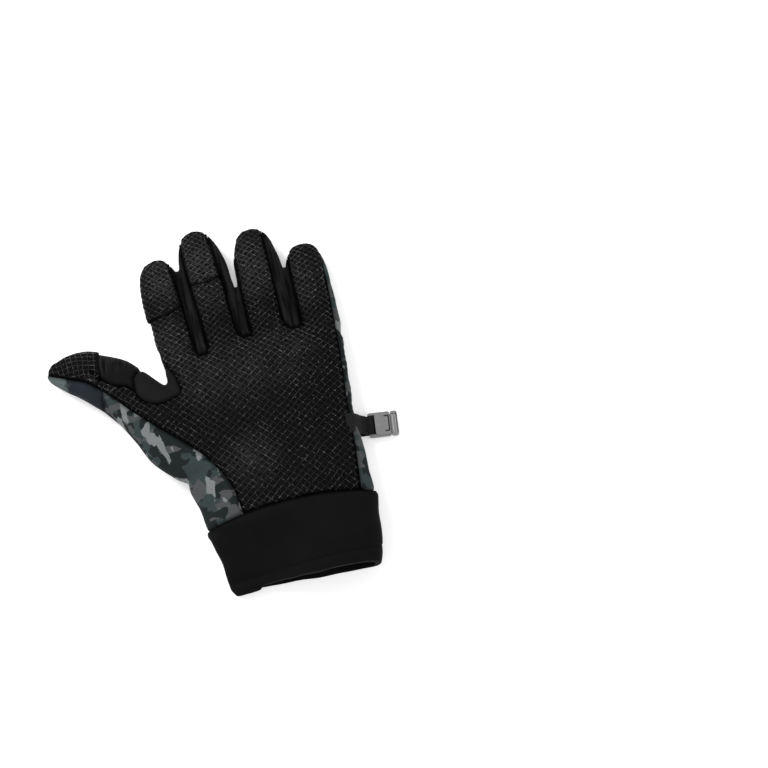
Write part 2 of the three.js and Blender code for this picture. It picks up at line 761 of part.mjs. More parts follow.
// Rings from inside the hand to the mouth, with another past the mouth for the hollow.
function cuffRings(wallAt, past) {
  const rows = [{ ...cuffSections[0], along: -0.3 }, ...cuffSections];
  const rings = rows.map((row) => cuffRing(row, wallAt(row.along)));
  rings.forEach((points, i) => {
    for (const point of points) point.y += mouthShift(point, rows[i]);
  });
  const mouth = rings.at(-1);
  if (past === 0) return rings;
  return [...rings, mouth.map((point) => new THREE.Vector3(point.x, point.y - past, point.z))];
}

const hemStart = 1 - hemWidth / cuffLength;
const cuffWallAt = (share) => cuffWall + hemThicker * smooth(share, hemStart - 0.1, hemStart);
const cuffOuter = above(0, loft(cuffRings(() => 0, 0)));
const cuffInner = above(cuffWall, loft(cuffRings(cuffWallAt, hemWidth)));
const handSpace = unite([
  prism(grow(seamSide(archedLine, aboveCuff), seamGap / 2), sideSeamHeight),
  prism(
    seamSide(straightLine(cuffSeam - seamGap / 2), aboveCuff),
    -highAbove,
    sideSeamHeight + finest,
  ),
]);
const cuff = cuffOuter.subtract(cuffInner).subtract(handSpace);

// Strap and buckle, drawn side on with the strap's run along the glove's breadth

const { x: edgeX, y: strapY } = palmPoint(strapLeaves);
const buckleStart = edgeX + strapRun;
const railInside = strapWidth / 2 + slideClearance;
const railOutside = railInside + socketRail;
const barLow = strapThickness + seamGap * 2;
const barHigh = barLow + strapBarHeight;
const plateLow = barHigh + strapThickness + seamGap * 2;
const buckleHeight = plateLow + plateThickness;
const barStart = buckleStart + plateStart - strapBar - seamGap - strapThickness;
const barEnd = barStart + strapBar;

// A strip of even thickness along a path drawn side on, as wide as the strap.
function webbing(path) {
  const offset = (sign) =>
    path.map((point, i) => {
      const before = path[Math.max(i - 1, 0)];
      const direction = path[Math.min(i + 1, path.length - 1)].clone().sub(before);
      const side = new THREE.Vector2(-direction.y, direction.x).normalize();
      return point.clone().addScaledVector(side, (sign * strapThickness) / 2);
    });
  const outline = new THREE.Shape([...offset(1), ...offset(-1).reverse()]);
  const geometry = new THREE.ExtrudeGeometry(outline, { depth: strapWidth, bevelEnabled: false });
  geometry.rotateX(Math.PI / 2);
  geometry.translate(0, strapWidth / 2, 0);
  return solid(geometry);
}

// The strap leaves the seam, drapes down the side of the hand and turns round the bar.
const half = strapThickness / 2;
const topRun = barHigh + seamGap + half;
const turnRadius = strapBarHeight / 2 + seamGap + half;
const turnCentre = new THREE.Vector2(
  barEnd - strapBarHeight / 2 + seamGap / 2,
  (barLow + barHigh) / 2,
);
const drape = new THREE.CatmullRomCurve3([
  ...strapDrape.map((row) => new THREE.Vector3(edgeX + row.out * strapRun, row.height * palmDepth)),
  new THREE.Vector3(buckleStart - half, topRun + seamGap),
  new THREE.Vector3(barStart - half, topRun),
]);
const strapPath = [
  ...drape.getPoints(20).map((point) => new THREE.Vector2(point.x, point.y)),
  ...Array.from({ length: 7 }, (_, i) => {
    const angle = Math.PI / 2 - (i / 6) * Math.PI;
    const out = new THREE.Vector2(Math.cos(angle), Math.sin(angle));
    return turnCentre.clone().addScaledVector(out, turnRadius);
  }),
  new THREE.Vector2(barStart, seamGap + half),
  new THREE.Vector2(turnCentre.x - strapReturn, seamGap + half),
];

// The strap and the buckle are a little turned from square to the glove.
function turnStrap(body) {
  return body.translate([-edgeX, 0, 0]).rotate([0, 0, strapTurn]).translate([edgeX, strapY, 0]);
}

const strap = turnStrap(webbing(strapPath)).subtract(palmSolid(-seamGap));

function block(left, right, halfWidth, low, high) {
  const geometry = new THREE.BoxGeometry(right - left, halfWidth * 2, high - low);
  geometry.translate((left + right) / 2, 0, (low + high) / 2);
  return solid(geometry);
}

function plate(left, right, halfWidth, low, high, radius) {
  return prism(roundedRectangle(left, -halfWidth, right, halfWidth, radius), low, high);
}

const socketEnd = buckleStart + socketLength;
const chamberStart = socketEnd - tongueReach - slideClearance;
const railHigh = plateLow + slideClearance;

const intoRails = railInside + socketRail / 2;
const cut = socketRail; // how far a cutter runs past what it cuts

function socket() {
  const frame = plate(buckleStart, socketEnd, railOutside, 0, railHigh, buckleCorner);
  const between = block(buckleStart - cut, socketEnd + cut, railInside, -cut, railHigh + cut);
  const bar = block(barStart, barEnd, intoRails, barLow, barHigh);
  const floor = block(barEnd + strapThickness * 2, socketEnd, intoRails, 0, socketFloor);
  const stop = block(
    chamberStart - socketRail,
    chamberStart,
    intoRails,
    0,
    plateLow + plateThickness / 2,
  );
  const cover = plate(
    buckleStart + plateStart,
    socketEnd,
    railOutside - socketRail / 4,
    plateLow,
    buckleHeight,
    buckleCorner * 1.6,
  );
  return unite([frame.subtract(between), bar, floor, stop, cover]);
}

function tongue() {
  const start = socketEnd + slideClearance;
  const end = start + tongueFrame;
  const blade = block(
    chamberStart + slideClearance,
    start + tongueBars,
    railInside - slideClearance,
    socketFloor + slideClearance,
    plateLow - slideClearance,
  );
  const outside = plate(start, end, railOutside, 0, railHigh, buckleCorner);
  const first = start + tongueBars;
  const second = first + tongueSlot + tongueBars;
  const slots = unite([
    block(first, first + tongueSlot, railInside, -cut, railHigh + cut),
    block(second, end - tongueBars, railInside, -cut, railHigh + cut),
    block(end - tongueBars - finest, end + cut, railInside, endBarHeight, railHigh + cut),
  ]);
  return outside.subtract(slots).add(blade);
}

const buckleSocket = turnStrap(socket());
const buckleTongue = turnStrap(tongue());

// Materials and the finished glove

function finish(color, roughness = 0.9) {
  return new THREE.MeshStandardMaterial({ color, roughness, metalness: 0 });
}

const printRoughness = 0.75;
const plasticRoughness = 0.45;
const strips = [0x181818, 0x1a1a1a, 0x1c1c1c];

const glove = new THREE.Group();
glove.add(piece("palm_panel", front(palmOutline), finish(0x161616, printRoughness)));
glove.add(piece("back_panel", backPanel, finish(0x3c4a4b)));
fourchettes.forEach((outline, i) => {
  const name = `fourchette_${fingers[i].name}_${fingers[i + 1].name}`;
  glove.add(piece(name, front(outline), finish(strips[i])));
});
glove.add(piece("crotch_patch", front(crotchPatch), finish(0x202020)));
glove.add(piece("thumb_gusset", front(thumbGusset), finish(0x181818)));
fingerCaps.forEach((cap, i) => {
  glove.add(piece(`${fingers[i].name}_cap`, cap, finish(0x1a1a1a, printRoughness)));
});
glove.add(piece("thumb_cap", thumbCap, finish(0x1c1c1c, printRoughness)));
glove.add(piece("cuff", cuff, finish(0x171717)));
glove.add(piece("strap", strap, finish(0x202020)));
glove.add(piece("buckle_socket", buckleSocket, finish(0x8a8a8a, plasticRoughness)));
glove.add(piece("buckle_tongue", buckleTongue, finish(0x7c7c7c, plasticRoughness)));

export default glove;
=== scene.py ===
# %% [markdown]
# # A fishing glove, laid palm up
#
# The real glove is cut from five kinds of cloth and sewn inside out: a black palm and three slit
# finger ends printed with a net of raised silicone, a camouflage back, thin side strips between
# the fingers, a smooth patch in the crotch of the thumb and a neoprene cuff. A short strap with a
# small buckle hangs on its edge. We load the engineers' model of it, keep its sizes, and build the
# soft surface, the seams, the net, the thread and the moulded plastic around it.

# %% The frame that everything is built around
import json
import math

import bpy
import numpy as np
from mathutils import Matrix, Vector
from mathutils.bvhtree import BVHTree

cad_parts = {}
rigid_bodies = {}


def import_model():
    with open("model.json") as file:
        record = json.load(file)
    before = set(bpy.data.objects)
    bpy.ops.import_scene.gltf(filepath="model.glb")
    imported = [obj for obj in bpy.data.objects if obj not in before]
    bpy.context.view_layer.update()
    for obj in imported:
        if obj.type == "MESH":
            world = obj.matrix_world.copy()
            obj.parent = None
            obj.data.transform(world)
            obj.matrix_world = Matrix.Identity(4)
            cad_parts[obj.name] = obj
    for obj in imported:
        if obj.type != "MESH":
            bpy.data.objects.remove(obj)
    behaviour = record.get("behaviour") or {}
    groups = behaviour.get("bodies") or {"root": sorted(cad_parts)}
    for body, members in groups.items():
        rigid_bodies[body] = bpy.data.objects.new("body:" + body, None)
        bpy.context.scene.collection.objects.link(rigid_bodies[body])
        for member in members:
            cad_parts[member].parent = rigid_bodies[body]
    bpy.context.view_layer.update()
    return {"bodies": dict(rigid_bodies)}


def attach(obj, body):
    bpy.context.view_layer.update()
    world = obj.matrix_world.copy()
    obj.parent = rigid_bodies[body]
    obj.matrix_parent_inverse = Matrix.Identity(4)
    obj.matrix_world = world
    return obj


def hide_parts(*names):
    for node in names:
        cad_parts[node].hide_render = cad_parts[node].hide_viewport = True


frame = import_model()
body = next(iter(frame["bodies"]))

# %% [markdown]
# ## Sizes
#
# The glove is drafted in millimetres, as a pattern cutter works, and each mesh is scaled to
# metres when it is made. The same named sizes and tables drive the engineers' solids, so every
# piece lands where its solid is.

# %% Sizes in millimetres
MM = 0.001
hand_breadth = 113.0
palm_length = 118.0
origin_along = 0.542
palm_depth = 30.0
cloth_wall = 1.8
rest_sink = 1.2
finger_reach = 97.5
finger_depth = 21.0
side_seam_height = 8.5
crotch_rise = 5.0
thumb_reach = 131.0
thumb_depth = 27.0
thumb_breadth = 44.0
thumb_tip_point = 12.0
cap_proud = 1.7
cap_lap = 9.0
cuff_length = 44.8
cuff_depth = 31.0
cuff_wall = 2.6
cuff_pinch = 9.5
cuff_seam_arch = 6.5
hem_width = 11.0
hem_thicker = 0.8
mouth_set_back = 2.0
mouth_slant = 6.2
mouth_corner = 3.0
mouth_corner_reach = 6.4
seam_gap = 0.3


def across(share):
    return share * hand_breadth


def along(share):
    return (share - origin_along) * palm_length


def smooth(value, low, high):
    part = np.clip((np.asarray(value, float) - low) / (high - low), 0, 1)
    return part * part * (3 - 2 * part)


def lerp(a, b, part):
    return a + (b - a) * part


print("palm from y", along(0), "to", along(1), "mm")

# %% [markdown]
# ## Tables of the hand
#
# Each finger is one row: where it starts, how broad and long it is, which way it leans, how far
# its printed front reaches to each side, and where its slit runs. The thumb and the palm are
# tables of sections. A smooth curve is passed through each column, so a few rows are enough.

# %% Fingers, thumb and palm
fingers = [
    dict(name="index", root=-0.4065, breadth=0.253, length=0.86, heading=(91.5, 96), swell=1.02,
         face=(-1.6, 0.64), slit=(0.535, 0.52, 0.57)),
    dict(name="middle", root=-0.1495, breadth=0.277, length=1.01, heading=(92.75, 94.5), swell=1.04,
         face=(-0.69, 0.6), slit=(0.62, 0.6, 0.62)),
    dict(name="ring", root=0.124, breadth=0.272, length=0.935, heading=(90, 89.5), swell=1.06,
         face=(-0.88, 0.49), slit=None),
    dict(name="little", root=0.388, breadth=0.248, length=0.75, heading=(90, 89), swell=1.0,
         face=(-0.75, 0.84), slit=None),
]
finger_root_along = 0.847
finger_root_share = 0.8
finger_root_length = 0.22
finger_tip_start = 0.57
finger_tip_power = 2.7
finger_crease = 0.045
finger_thinning = 0.14
crotch_shares = (0.955, 1.003, 0.99)
crotch_breadth = 0.6
straight_from = 0.62

thumb_root = (-0.36, -0.2)
thumb_rows = np.array([  # step, heading, breadth, depth, seam
    (0, 117, 0.84, 1, -0.2),
    (0.1, 123.5, 1.06, 1, -0.2),
    (0.13, 129.5, 1.14, 1, -0.2),
    (0.165, 129, 0.945, 0.95, -0.31),
    (0.136, 129.5, 0.827, 0.87, -0.41),
    (0.16, 140.5, 0.787, 0.83, -0.41),
    (0.096, 153.5, 0.702, 0.78, -0.36),
    (0.082, 161, 0.594, 0.68, -0.38),
    (0.065, 164, 0.4, 0.5, -0.36),
    (0.045, 163, 0.25, 0.33, -0.36),
    (0.02, 163, 0.12, 0.15, -0.36),
])
thumb_tip_lift = 0.6
thumb_slit = dict(seam_side=0.705, middle=0.73, inner_side=0.775, middle_side=0.2)
thumb_lap = dict(middle=0.7, middle_side=0.1)
thumb_seam_start = 0.36

palm_rows = np.array([  # along, left, right, depth, crown
    (-0.1, -0.48, 0.468, 1, 0),
    (0.02, -0.484, 0.475, 1, 0),
    (0.12, -0.496, 0.47, 1, 0),
    (0.254, -0.53, 0.471, 1, 0),
    (0.36, -0.526, 0.466, 0.99, 0),
    (0.46, -0.531, 0.464, 0.96, 0),
    (0.57, -0.531, 0.476, 0.94, 0),
    (0.68, -0.529, 0.486, 0.91, 0.01),
    (0.79, -0.527, 0.494, 0.87, 0.03),
    (0.87, -0.527, 0.504, 0.82, 0.055),
    (0.92, -0.528, 0.49, 0.74, 0.07),
    (0.955, -0.49, 0.465, 0.62, 0.078),
])
palm_power = 2.7
limb_power = 2.3

cuff_rows = np.array([  # along, left, right, depth, pinch
    (-0.3, -0.492, 0.482, 1, 0),
    (0, -0.492, 0.482, 1, 0),
    (0.12, -0.476, 0.474, 0.99, 0.15),
    (0.28, -0.463, 0.462, 0.98, 0.35),
    (0.45, -0.451, 0.454, 0.98, 0.6),
    (0.62, -0.447, 0.443, 0.98, 0.85),
    (0.76, -0.442, 0.434, 0.98, 0.97),
    (0.88, -0.434, 0.423, 0.97, 1),
    (1, -0.409, 0.407, 0.95, 1),
])
pinch_closed, pinch_open = -0.75, 0.35
mouth_starts = 0.6
seam_arch_reach = 0.475

hollows = [  # across, along, radius, depth
    (-0.03, 0.52, 0.24, 0.11),
    (-0.36, 0.66, 0.13, 0.12),
    (-0.27, 0.88, 0.09, 0.1),
    (0.0, 0.93, 0.09, 0.1),
    (0.25, 0.92, 0.09, 0.1),
    (-0.22, 0.2, 0.12, 0.07),
]

thumb_side_seam = [(-0.461, 0.457), (-0.391, 0.382), (-0.349, 0.316), (-0.304, 0.238),
                   (-0.281, 0.166), (-0.262, 0.03)]
little_side_seam = [(0.47, 0.84), (0.455, 0.66), (0.44, 0.53), (0.432, 0.415),
                    (0.425, 0.3), (0.413, 0.177), (0.394, 0.01)]
patch_on_palm = [(-0.455, 0.78), (-0.51, 0.752), (-0.58, 0.736)]
patch_on_index = [(0.255, -1.02), (0.17, -0.87), (0.03, -0.62)]
patch_on_thumb = [(0.487, 0.12), (0.53, 0.23), (0.575, 0.52), (0.59, 0.98)]
gusset_on_thumb = [(0.57, 0.2), (0.645, -0.06)]
past_side = 1.5
cap_settles = 0.8
index_seam_ends = 0.45

# %% [markdown]
# ## From tables to smooth limbs
#
# A limb is a path with a width and a depth at every point. Between rows we use a monotone cubic,
# which never swings past its rows, so a finger doesn't bulge where the table says it narrows.


# %% Curves through the tables
def monotone(xs, ys, at):
    """A smooth curve through the points (xs, ys), read at the places at."""
    xs, ys, at = np.asarray(xs, float), np.asarray(ys, float), np.asarray(at, float)
    step = np.diff(xs)
    slope = np.diff(ys) / step
    tangent = np.zeros_like(ys)
    same = slope[:-1] * slope[1:] > 0
    w1, w2 = 2 * step[1:] + step[:-1], step[1:] + 2 * step[:-1]
    safe = np.where(same, slope[:-1], 1), np.where(same, slope[1:], 1)
    tangent[1:-1] = np.where(same, (w1 + w2) / (w1 / safe[0] + w2 / safe[1]), 0)
    tangent[0], tangent[-1] = slope[0], slope[-1]
    i = np.clip(np.searchsorted(xs, at) - 1, 0, len(step) - 1)
    t = np.clip((at - xs[i]) / step[i], 0, 1)
    h = step[i]
    return ((1 + 2 * t) * (1 - t) ** 2 * ys[i] + t * (1 - t) ** 2 * h * tangent[i]
            + t * t * (3 - 2 * t) * ys[i + 1] + t * t * (t - 1) * h * tangent[i + 1])


def read_rows(rows, at):
    """The columns of a table after its first, read at places along the first."""
    return [monotone(rows[:, 0], column, at) for column in rows.T[1:]]


def through(points, spacing=1.5):
    """A smooth plan line through points, with a point every spacing millimetres."""
    points = np.asarray(points, float)
    length = np.r_[0, np.cumsum(np.linalg.norm(np.diff(points, axis=0), axis=1))]
    at = np.linspace(0, length[-1], max(2, round(length[-1] / spacing) + 1))
    return np.stack([monotone(length, points[:, 0], at), monotone(length, points[:, 1], at)], 1)


def walk(start, share, heading, total):
    """Plan points of a path that leaves start and turns as its headings say."""
    middle = np.radians((heading[1:] + heading[:-1]) / 2)
    step = np.diff(share) * total
    x = start[0] + np.r_[0, np.cumsum(np.cos(middle) * step)]
    y = start[1] + np.r_[0, np.cumsum(np.sin(middle) * step)]
    return x, y


finger_stations, finger_crowding = 120, 1.4
thumb_stations, thumb_crowding = 160, 1.3


def station_shares(count, crowding):
    """Shares along a limb, closer together towards its tip."""
    return 1 - (1 - np.linspace(0, 1, count)) ** crowding


def finger_limb(row):
    total = row["length"] * finger_reach
    share = station_shares(finger_stations, finger_crowding)
    past = np.clip((share - finger_tip_start) / (1 - finger_tip_start), 0, 1)
    rounding = (1 - past**finger_tip_power) ** (1 / finger_tip_power)
    swell = 1 + (row["swell"] - 1) * np.sin(np.pi * share)
    root = lerp(finger_root_share, 1, smooth(share, 0, finger_root_length))
    joints = 1 + finger_crease * np.cos(share * np.pi * 5)
    heading = lerp(row["heading"][0], row["heading"][1], share)
    x, y = walk((across(row["root"]), along(finger_root_along)), share, heading, total)
    thin = finger_depth / 2 * (1 - finger_thinning * share)
    return dict(total=total, share=share, x=x, y=y, heading=heading, seam=share * 0,
                half_breadth=across(row["breadth"]) / 2 * swell * root * rounding,
                half_depth=thin * joints * rounding, middle=thin - rest_sink)


def thumb_limb():
    step, heading, breadth, depth, seam = thumb_rows.T
    at = np.cumsum(step)
    total = at[-1] * thumb_reach
    at = at / at[-1]
    share = station_shares(thumb_stations, thumb_crowding)
    bend = monotone(at, heading, share)
    start = (across(thumb_root[0]), thumb_root[1] * palm_length)
    x, y = walk(start, share, bend, total)
    lifted = np.maximum(depth, thumb_tip_lift)
    return dict(total=total, share=share, x=x, y=y, heading=bend,
                seam=monotone(at, seam, share),
                half_breadth=monotone(at, breadth, share) * thumb_breadth / 2,
                half_depth=monotone(at, depth, share) * thumb_depth / 2,
                middle=monotone(at, lifted, share) * thumb_depth / 2 - rest_sink)


finger_limbs = [finger_limb(row) for row in fingers]
index = finger_limbs[0]
thumb = thumb_limb()
limbs = [*finger_limbs, thumb]
print("limb lengths", [round(limb["total"]) for limb in limbs], "mm")


# %% [markdown]
# ## Lofts
#
# A ring of points is drawn at each station and joined to the next one. The ring is a
# superellipse, a little squarer than an oval, because an empty glove lies flatter than a hand.


# %% Rings and lofts
def hollow_at(x, y):
    depth = 0
    for a, b, radius, deep in hollows:
        distance = np.hypot(x - across(a), y - along(b)) / across(radius)
        depth = depth + deep * palm_depth * np.exp(-distance**2)
    return depth


def ring(x, y, z, heading, half_breadth, half_depth, sides, power, press=1.0):
    turn = math.radians(heading)
    angle = (np.arange(sides) + 0.5) / sides * 2 * np.pi
    side, rise = np.cos(angle), np.sin(angle)
    side = np.sign(side) * np.abs(side) ** (2 / power)
    rise = np.sign(rise) * np.abs(rise) ** (2 / power)
    px = x + math.sin(turn) * half_breadth * side
    py = y - math.cos(turn) * half_breadth * side
    pz = z + half_depth * rise - press * hollow_at(px, py) * np.maximum(rise, 0)
    return np.stack([px, py, pz], 1)


def loft(rings):
    """Vertices and faces of a closed tube through rings, with a fan at each end."""
    sides = len(rings[0])
    last = len(rings) - 1
    points = np.concatenate([*rings, [rings[0].mean(0)], [rings[-1].mean(0)]])
    i = np.arange(sides)
    j = (i + 1) % sides
    quads = [np.stack([r * sides + i, r * sides + j, (r + 1) * sides + j, (r + 1) * sides + i], 1)
             for r in range(last)]
    first_fan = [(b, a, (last + 1) * sides) for a, b in zip(i, j)]
    last_fan = [(last * sides + a, last * sides + b, (last + 1) * sides + 1) for a, b in zip(i, j)]
    faces = [tuple(quad) for quad in np.concatenate(quads).tolist()]
    return points, faces + first_fan + last_fan


def make_object(name, points, faces, edges=()):
    """An object in metres from points in millimetres, with its faces turned outwards."""
    mesh = bpy.data.meshes.new(name)
    mesh.from_pydata((np.asarray(points, float) * MM).tolist(), list(edges), list(faces))
    if len(faces):
        flip_if_inside_out(mesh)
    mesh.update()
    return in_scene(name, mesh)


def in_scene(name, data):
    """A new object in the scene that shows the data."""
    made = bpy.data.objects.new(name, data)
    bpy.context.scene.collection.objects.link(made)
    return made


def flip_if_inside_out(mesh):
    mesh.calc_loop_triangles()
    co = np.array([v.co for v in mesh.vertices])
    tri = np.array([t.vertices for t in mesh.loop_triangles])
    a, b, c = co[tri[:, 0]], co[tri[:, 1]], co[tri[:, 2]]
    if np.einsum("ij,ij->i", a, np.cross(b, c)).sum() < 0:
        mesh.flip_normals()


smallest_half = 0.15  # no ring is drawn that is narrower


def limb_loft(limb, name, wall=0.0, growth=None, sides=64):
    rings = []
    for k in range(len(limb["share"])):
        share = limb["share"][k]
        if (1 - share) * limb["total"] < wall:
            continue
        more = (growth(share) if growth else 0) - wall
        half_breadth = limb["half_breadth"][k] + more
        half_depth = limb["half_depth"][k] + more
        if min(half_breadth, half_depth) < smallest_half:
            continue
        inwards = wall if not rings else 0
        turn = math.radians(limb["heading"][k])
        rings.append(ring(limb["x"][k] + math.cos(turn) * inwards,
                          limb["y"][k] + math.sin(turn) * inwards, limb["middle"][k],
                          limb["heading"][k], half_breadth, half_depth, sides, limb_power))
    return make_object(name, *loft(rings))


def palm_loft(name, wall=0.0, rows=90, sides=120):
    at = np.linspace(palm_rows[0, 0], palm_rows[-1, 0], rows)
    left, right, depth, crown = read_rows(palm_rows, at)
    rings = []
    for k in range(rows):
        a, b = across(left[k]) + wall, across(right[k]) - wall
        middle, half = (a + b) / 2, (b - a) / 2
        deep = depth[k] * palm_depth / 2
        y = along(at[k]) - (wall if k == rows - 1 else 0)
        points = ring(middle, y, deep - rest_sink, 90, half, deep - wall, sides, palm_power)
        points[:, 1] += crown[k] * palm_length * (1 - ((points[:, 0] - middle) / half) ** 2)
        rings.append(points)
    return make_object(name, *loft(rings))


print("rings under", smallest_half, "mm are left out")

# %% [markdown]
# ## One soft body
#
# The palm, four fingers and the thumb overlap. A voxel remesh fuses them into one even skin, and a
# few rounds of smoothing melt the joints, as cloth bridges them. A second, smaller body makes the
# hollow inside.


# %% Fusing the body
def finished_mesh(made):
    """The object's mesh with its modifiers applied, which then are removed."""
    graph = bpy.context.evaluated_depsgraph_get()
    mesh = bpy.data.meshes.new_from_object(made.evaluated_get(graph))
    made.modifiers.clear()
    old, made.data = made.data, mesh
    bpy.data.meshes.remove(old)
    return made


def join(name, parts):
    """One object from several, with all their faces."""
    points, faces, start = [], [], 0
    for part in parts:
        points.extend(tuple(v.co) for v in part.data.vertices)
        faces.extend(tuple(start + v for v in face.vertices) for face in part.data.polygons)
        start = len(points)
        remove(part)
    mesh = bpy.data.meshes.new(name)
    mesh.from_pydata(points, [], faces)
    return in_scene(name, mesh)


def remove(made):
    mesh = made.data
    bpy.data.objects.remove(made)
    bpy.data.meshes.remove(mesh)


def fuse(made, voxel, rounds):
    remesh = made.modifiers.new("fuse", "REMESH")
    remesh.mode = "VOXEL"
    remesh.voxel_size = voxel * MM
    if rounds:
        relax = made.modifiers.new("relax", "SMOOTH")
        relax.factor = 0.5
        relax.iterations = rounds
    return finished_mesh(made)


def hand_body(name, wall, voxel, rounds):
    parts = [palm_loft("palm_part", wall)]
    parts += [limb_loft(limb, "limb_part", wall) for limb in limbs]
    return fuse(join(name, parts), voxel, rounds)


def read_points(made):
    co = np.empty(len(made.data.vertices) * 3, np.float32)
    made.data.vertices.foreach_get("co", co)
    return co.reshape(-1, 3).astype(float) / MM


def write_points(made, points):
    made.data.vertices.foreach_set("co", (points * MM).astype(np.float32).ravel())
    made.data.update()


def note(made, name, values):
    """Keeps a number for each point on the mesh, for materials and node trees to read."""
    kept = made.data.attributes.new(name, "FLOAT", "POINT")
    kept.data.foreach_set("value", np.asarray(values).astype(np.float32))


def read_normals(made):
    normals = np.empty(len(made.data.vertices) * 3, np.float32)
    made.data.vertex_normals.foreach_get("vector", normals)
    return normals.reshape(-1, 3).astype(float)


skin_voxel, skin_rounds = 1.0, 8
hollow_voxel, hollow_rounds = 1.6, 6
outer = hand_body("outer", 0.0, skin_voxel, skin_rounds)
inner = hand_body("inner", cloth_wall, hollow_voxel, hollow_rounds)
print("outer", len(outer.data.polygons), "faces, inner", len(inner.data.polygons))

# %% [markdown]
# ## The pattern pieces, drawn in plan
#
# Seen from above, every seam is a plan line. Where it crosses a limb it is given by a share of
# the limb's length and a share of its half breadth, so a seam stays on its finger if the finger
# changes. The lines are the cutter's outlines: each cloth piece is the skin inside one outline.


# %% Plan lines
def palm_point(row):
    return np.array([across(row[0]), along(row[1])])


def limb_at(limb, share, *keys):
    return [np.interp(share, limb["share"], limb[key]) for key in keys]


def limb_point(limb, share, side):
    x, y, heading, half = limb_at(limb, share, "x", "y", "heading", "half_breadth")
    turn = np.radians(heading)
    return np.array([x + np.sin(turn) * half * side, y - np.cos(turn) * half * side])


def limb_line(limb, side, start, stop, steps=14):
    return [limb_point(limb, share, side) for share in np.linspace(start, stop, steps)]


def edge_past_tip(limb, side):
    knuckle = limb_point(limb, straight_from, side)
    onward = limb_point(limb, straight_from + 0.04, side) - knuckle
    return knuckle + onward / np.linalg.norm(onward) * limb["total"] / 2


def crotch(i):
    right = limb_point(finger_limbs[i], finger_root_length, 1)
    left = limb_point(finger_limbs[i + 1], finger_root_length, -1)
    return (right[0] + left[0]) / 2, along(crotch_shares[i])


def face_edge(i, side):
    limb = finger_limbs[i]
    beside = crotch_shares[i if side > 0 else i - 1]
    start = (along(beside) + crotch_rise - limb["y"][0]) / limb["total"]
    return [*limb_line(limb, side, start, straight_from), edge_past_tip(limb, side)]


def web(i):
    """The rounded bottom of a side strip, from its left side to its right one."""
    x, y = crotch(i)
    left = face_edge(i, fingers[i]["face"][1])[0]
    right = face_edge(i + 1, fingers[i + 1]["face"][0])[0]
    half = (right[0] - left[0]) / 2 * crotch_breadth
    return list(through([left, (x - half, y), (x + half, y), right], 0.6))


def fourchette_outline(i):
    right = face_edge(i + 1, fingers[i + 1]["face"][0])
    left = face_edge(i, fingers[i]["face"][1])
    return [*web(i), *right[1:], *left[:0:-1]]


def on_limb(limb, rows):
    return [limb_point(limb, *row) for row in rows]


def thumb_seam(start, stop, steps=16):
    shares = np.linspace(start, stop, steps)
    return [limb_point(thumb, share, limb_at(thumb, share, "seam")[0]) for share in shares]


fourchettes = [fourchette_outline(i) for i in range(3)]
lap_share = cap_lap / thumb["total"]
front_end = limb_point(thumb, thumb_lap["middle"] + lap_share, thumb_lap["middle_side"])
beyond_thumb_tip = limb_point(thumb, 1, 0) + [-thumb_tip_point, thumb_tip_point / 3]
patch_end = patch_on_thumb[-1][0]
crotch_curve = through(
    [*on_limb(index, patch_on_index), *map(palm_point, patch_on_palm), *on_limb(thumb, patch_on_thumb)]
)
crotch_patch = [
    *crotch_curve,
    limb_point(thumb, patch_end, past_side),
    limb_point(index, patch_on_index[0][0], -past_side),
]
patch_corner = limb_point(thumb, *patch_on_thumb[1])
patch_split = int(np.argmin(np.linalg.norm(crotch_curve - patch_corner, axis=1)))
gusset_curve = list(through(
    [limb_point(thumb, *patch_on_thumb[1]), *on_limb(thumb, gusset_on_thumb), front_end]
))
thumb_gusset = [
    *crotch_curve[patch_split:],
    limb_point(thumb, patch_end, past_side),
    limb_point(thumb, thumb_slit["inner_side"] + lap_share, past_side),
    limb_point(thumb, thumb_slit["inner_side"] + lap_share, 1),
    *gusset_curve[:0:-1],
]
thumb_slit_line = list(through([
    limb_point(thumb, thumb_slit["inner_side"], 1),
    limb_point(thumb, thumb_slit["middle"], thumb_slit["middle_side"]),
    limb_point(thumb, thumb_slit["seam_side"], limb_at(thumb, thumb_slit["seam_side"], "seam")[0]),
]))
thumb_cap_outline = [
    limb_point(thumb, thumb_slit["inner_side"], past_side),
    *thumb_slit_line,
    *thumb_seam(thumb_slit["seam_side"], 0.98)[1:],
    beyond_thumb_tip,
    limb_point(thumb, 0.9, past_side * 2),
]


def slit_line(i):
    left, middle, right = fingers[i]["slit"]
    face_left, face_right = fingers[i]["face"]
    face_middle = (max(face_left, -1) + face_right) / 2
    limb = finger_limbs[i]
    return list(through([limb_point(limb, left, face_left), limb_point(limb, middle, face_middle),
                         limb_point(limb, right, face_right)]))


def cap_outline(i):
    limb = finger_limbs[i]
    face_left, face_right = fingers[i]["face"]
    return [*slit_line(i), edge_past_tip(limb, face_right), edge_past_tip(limb, face_left)]


def lobe(i):
    """The printed front of one finger: up its left side, round its end, down its right side."""
    limb, (face_left, face_right) = finger_limbs[i], fingers[i]["face"]
    first = [limb_point(limb, index_seam_ends, face_left)] if i == 0 else face_edge(i, face_left)[:-1]
    last = face_edge(i, face_right)[:-1] if i < 3 else [limb_point(limb, straight_from, face_right)]
    if fingers[i]["slit"]:
        end = max(fingers[i]["slit"]) + cap_lap / limb["total"]
        top = [limb_point(limb, end, face_left), limb_point(limb, end, face_right)]
    else:
        top = [edge_past_tip(limb, face_left), edge_past_tip(limb, face_right)]
    return [*first, *top, *last[::-1]]


cuff_seam = along(0)


def seam_height_at(x):
    return cuff_seam + cuff_seam_arch * np.maximum(1 - (x / across(seam_arch_reach)) ** 2, 0)


def seam_line(start, stop, steps=60):
    xs = np.linspace(start, stop, steps)
    return list(np.stack([xs, seam_height_at(xs)], 1))


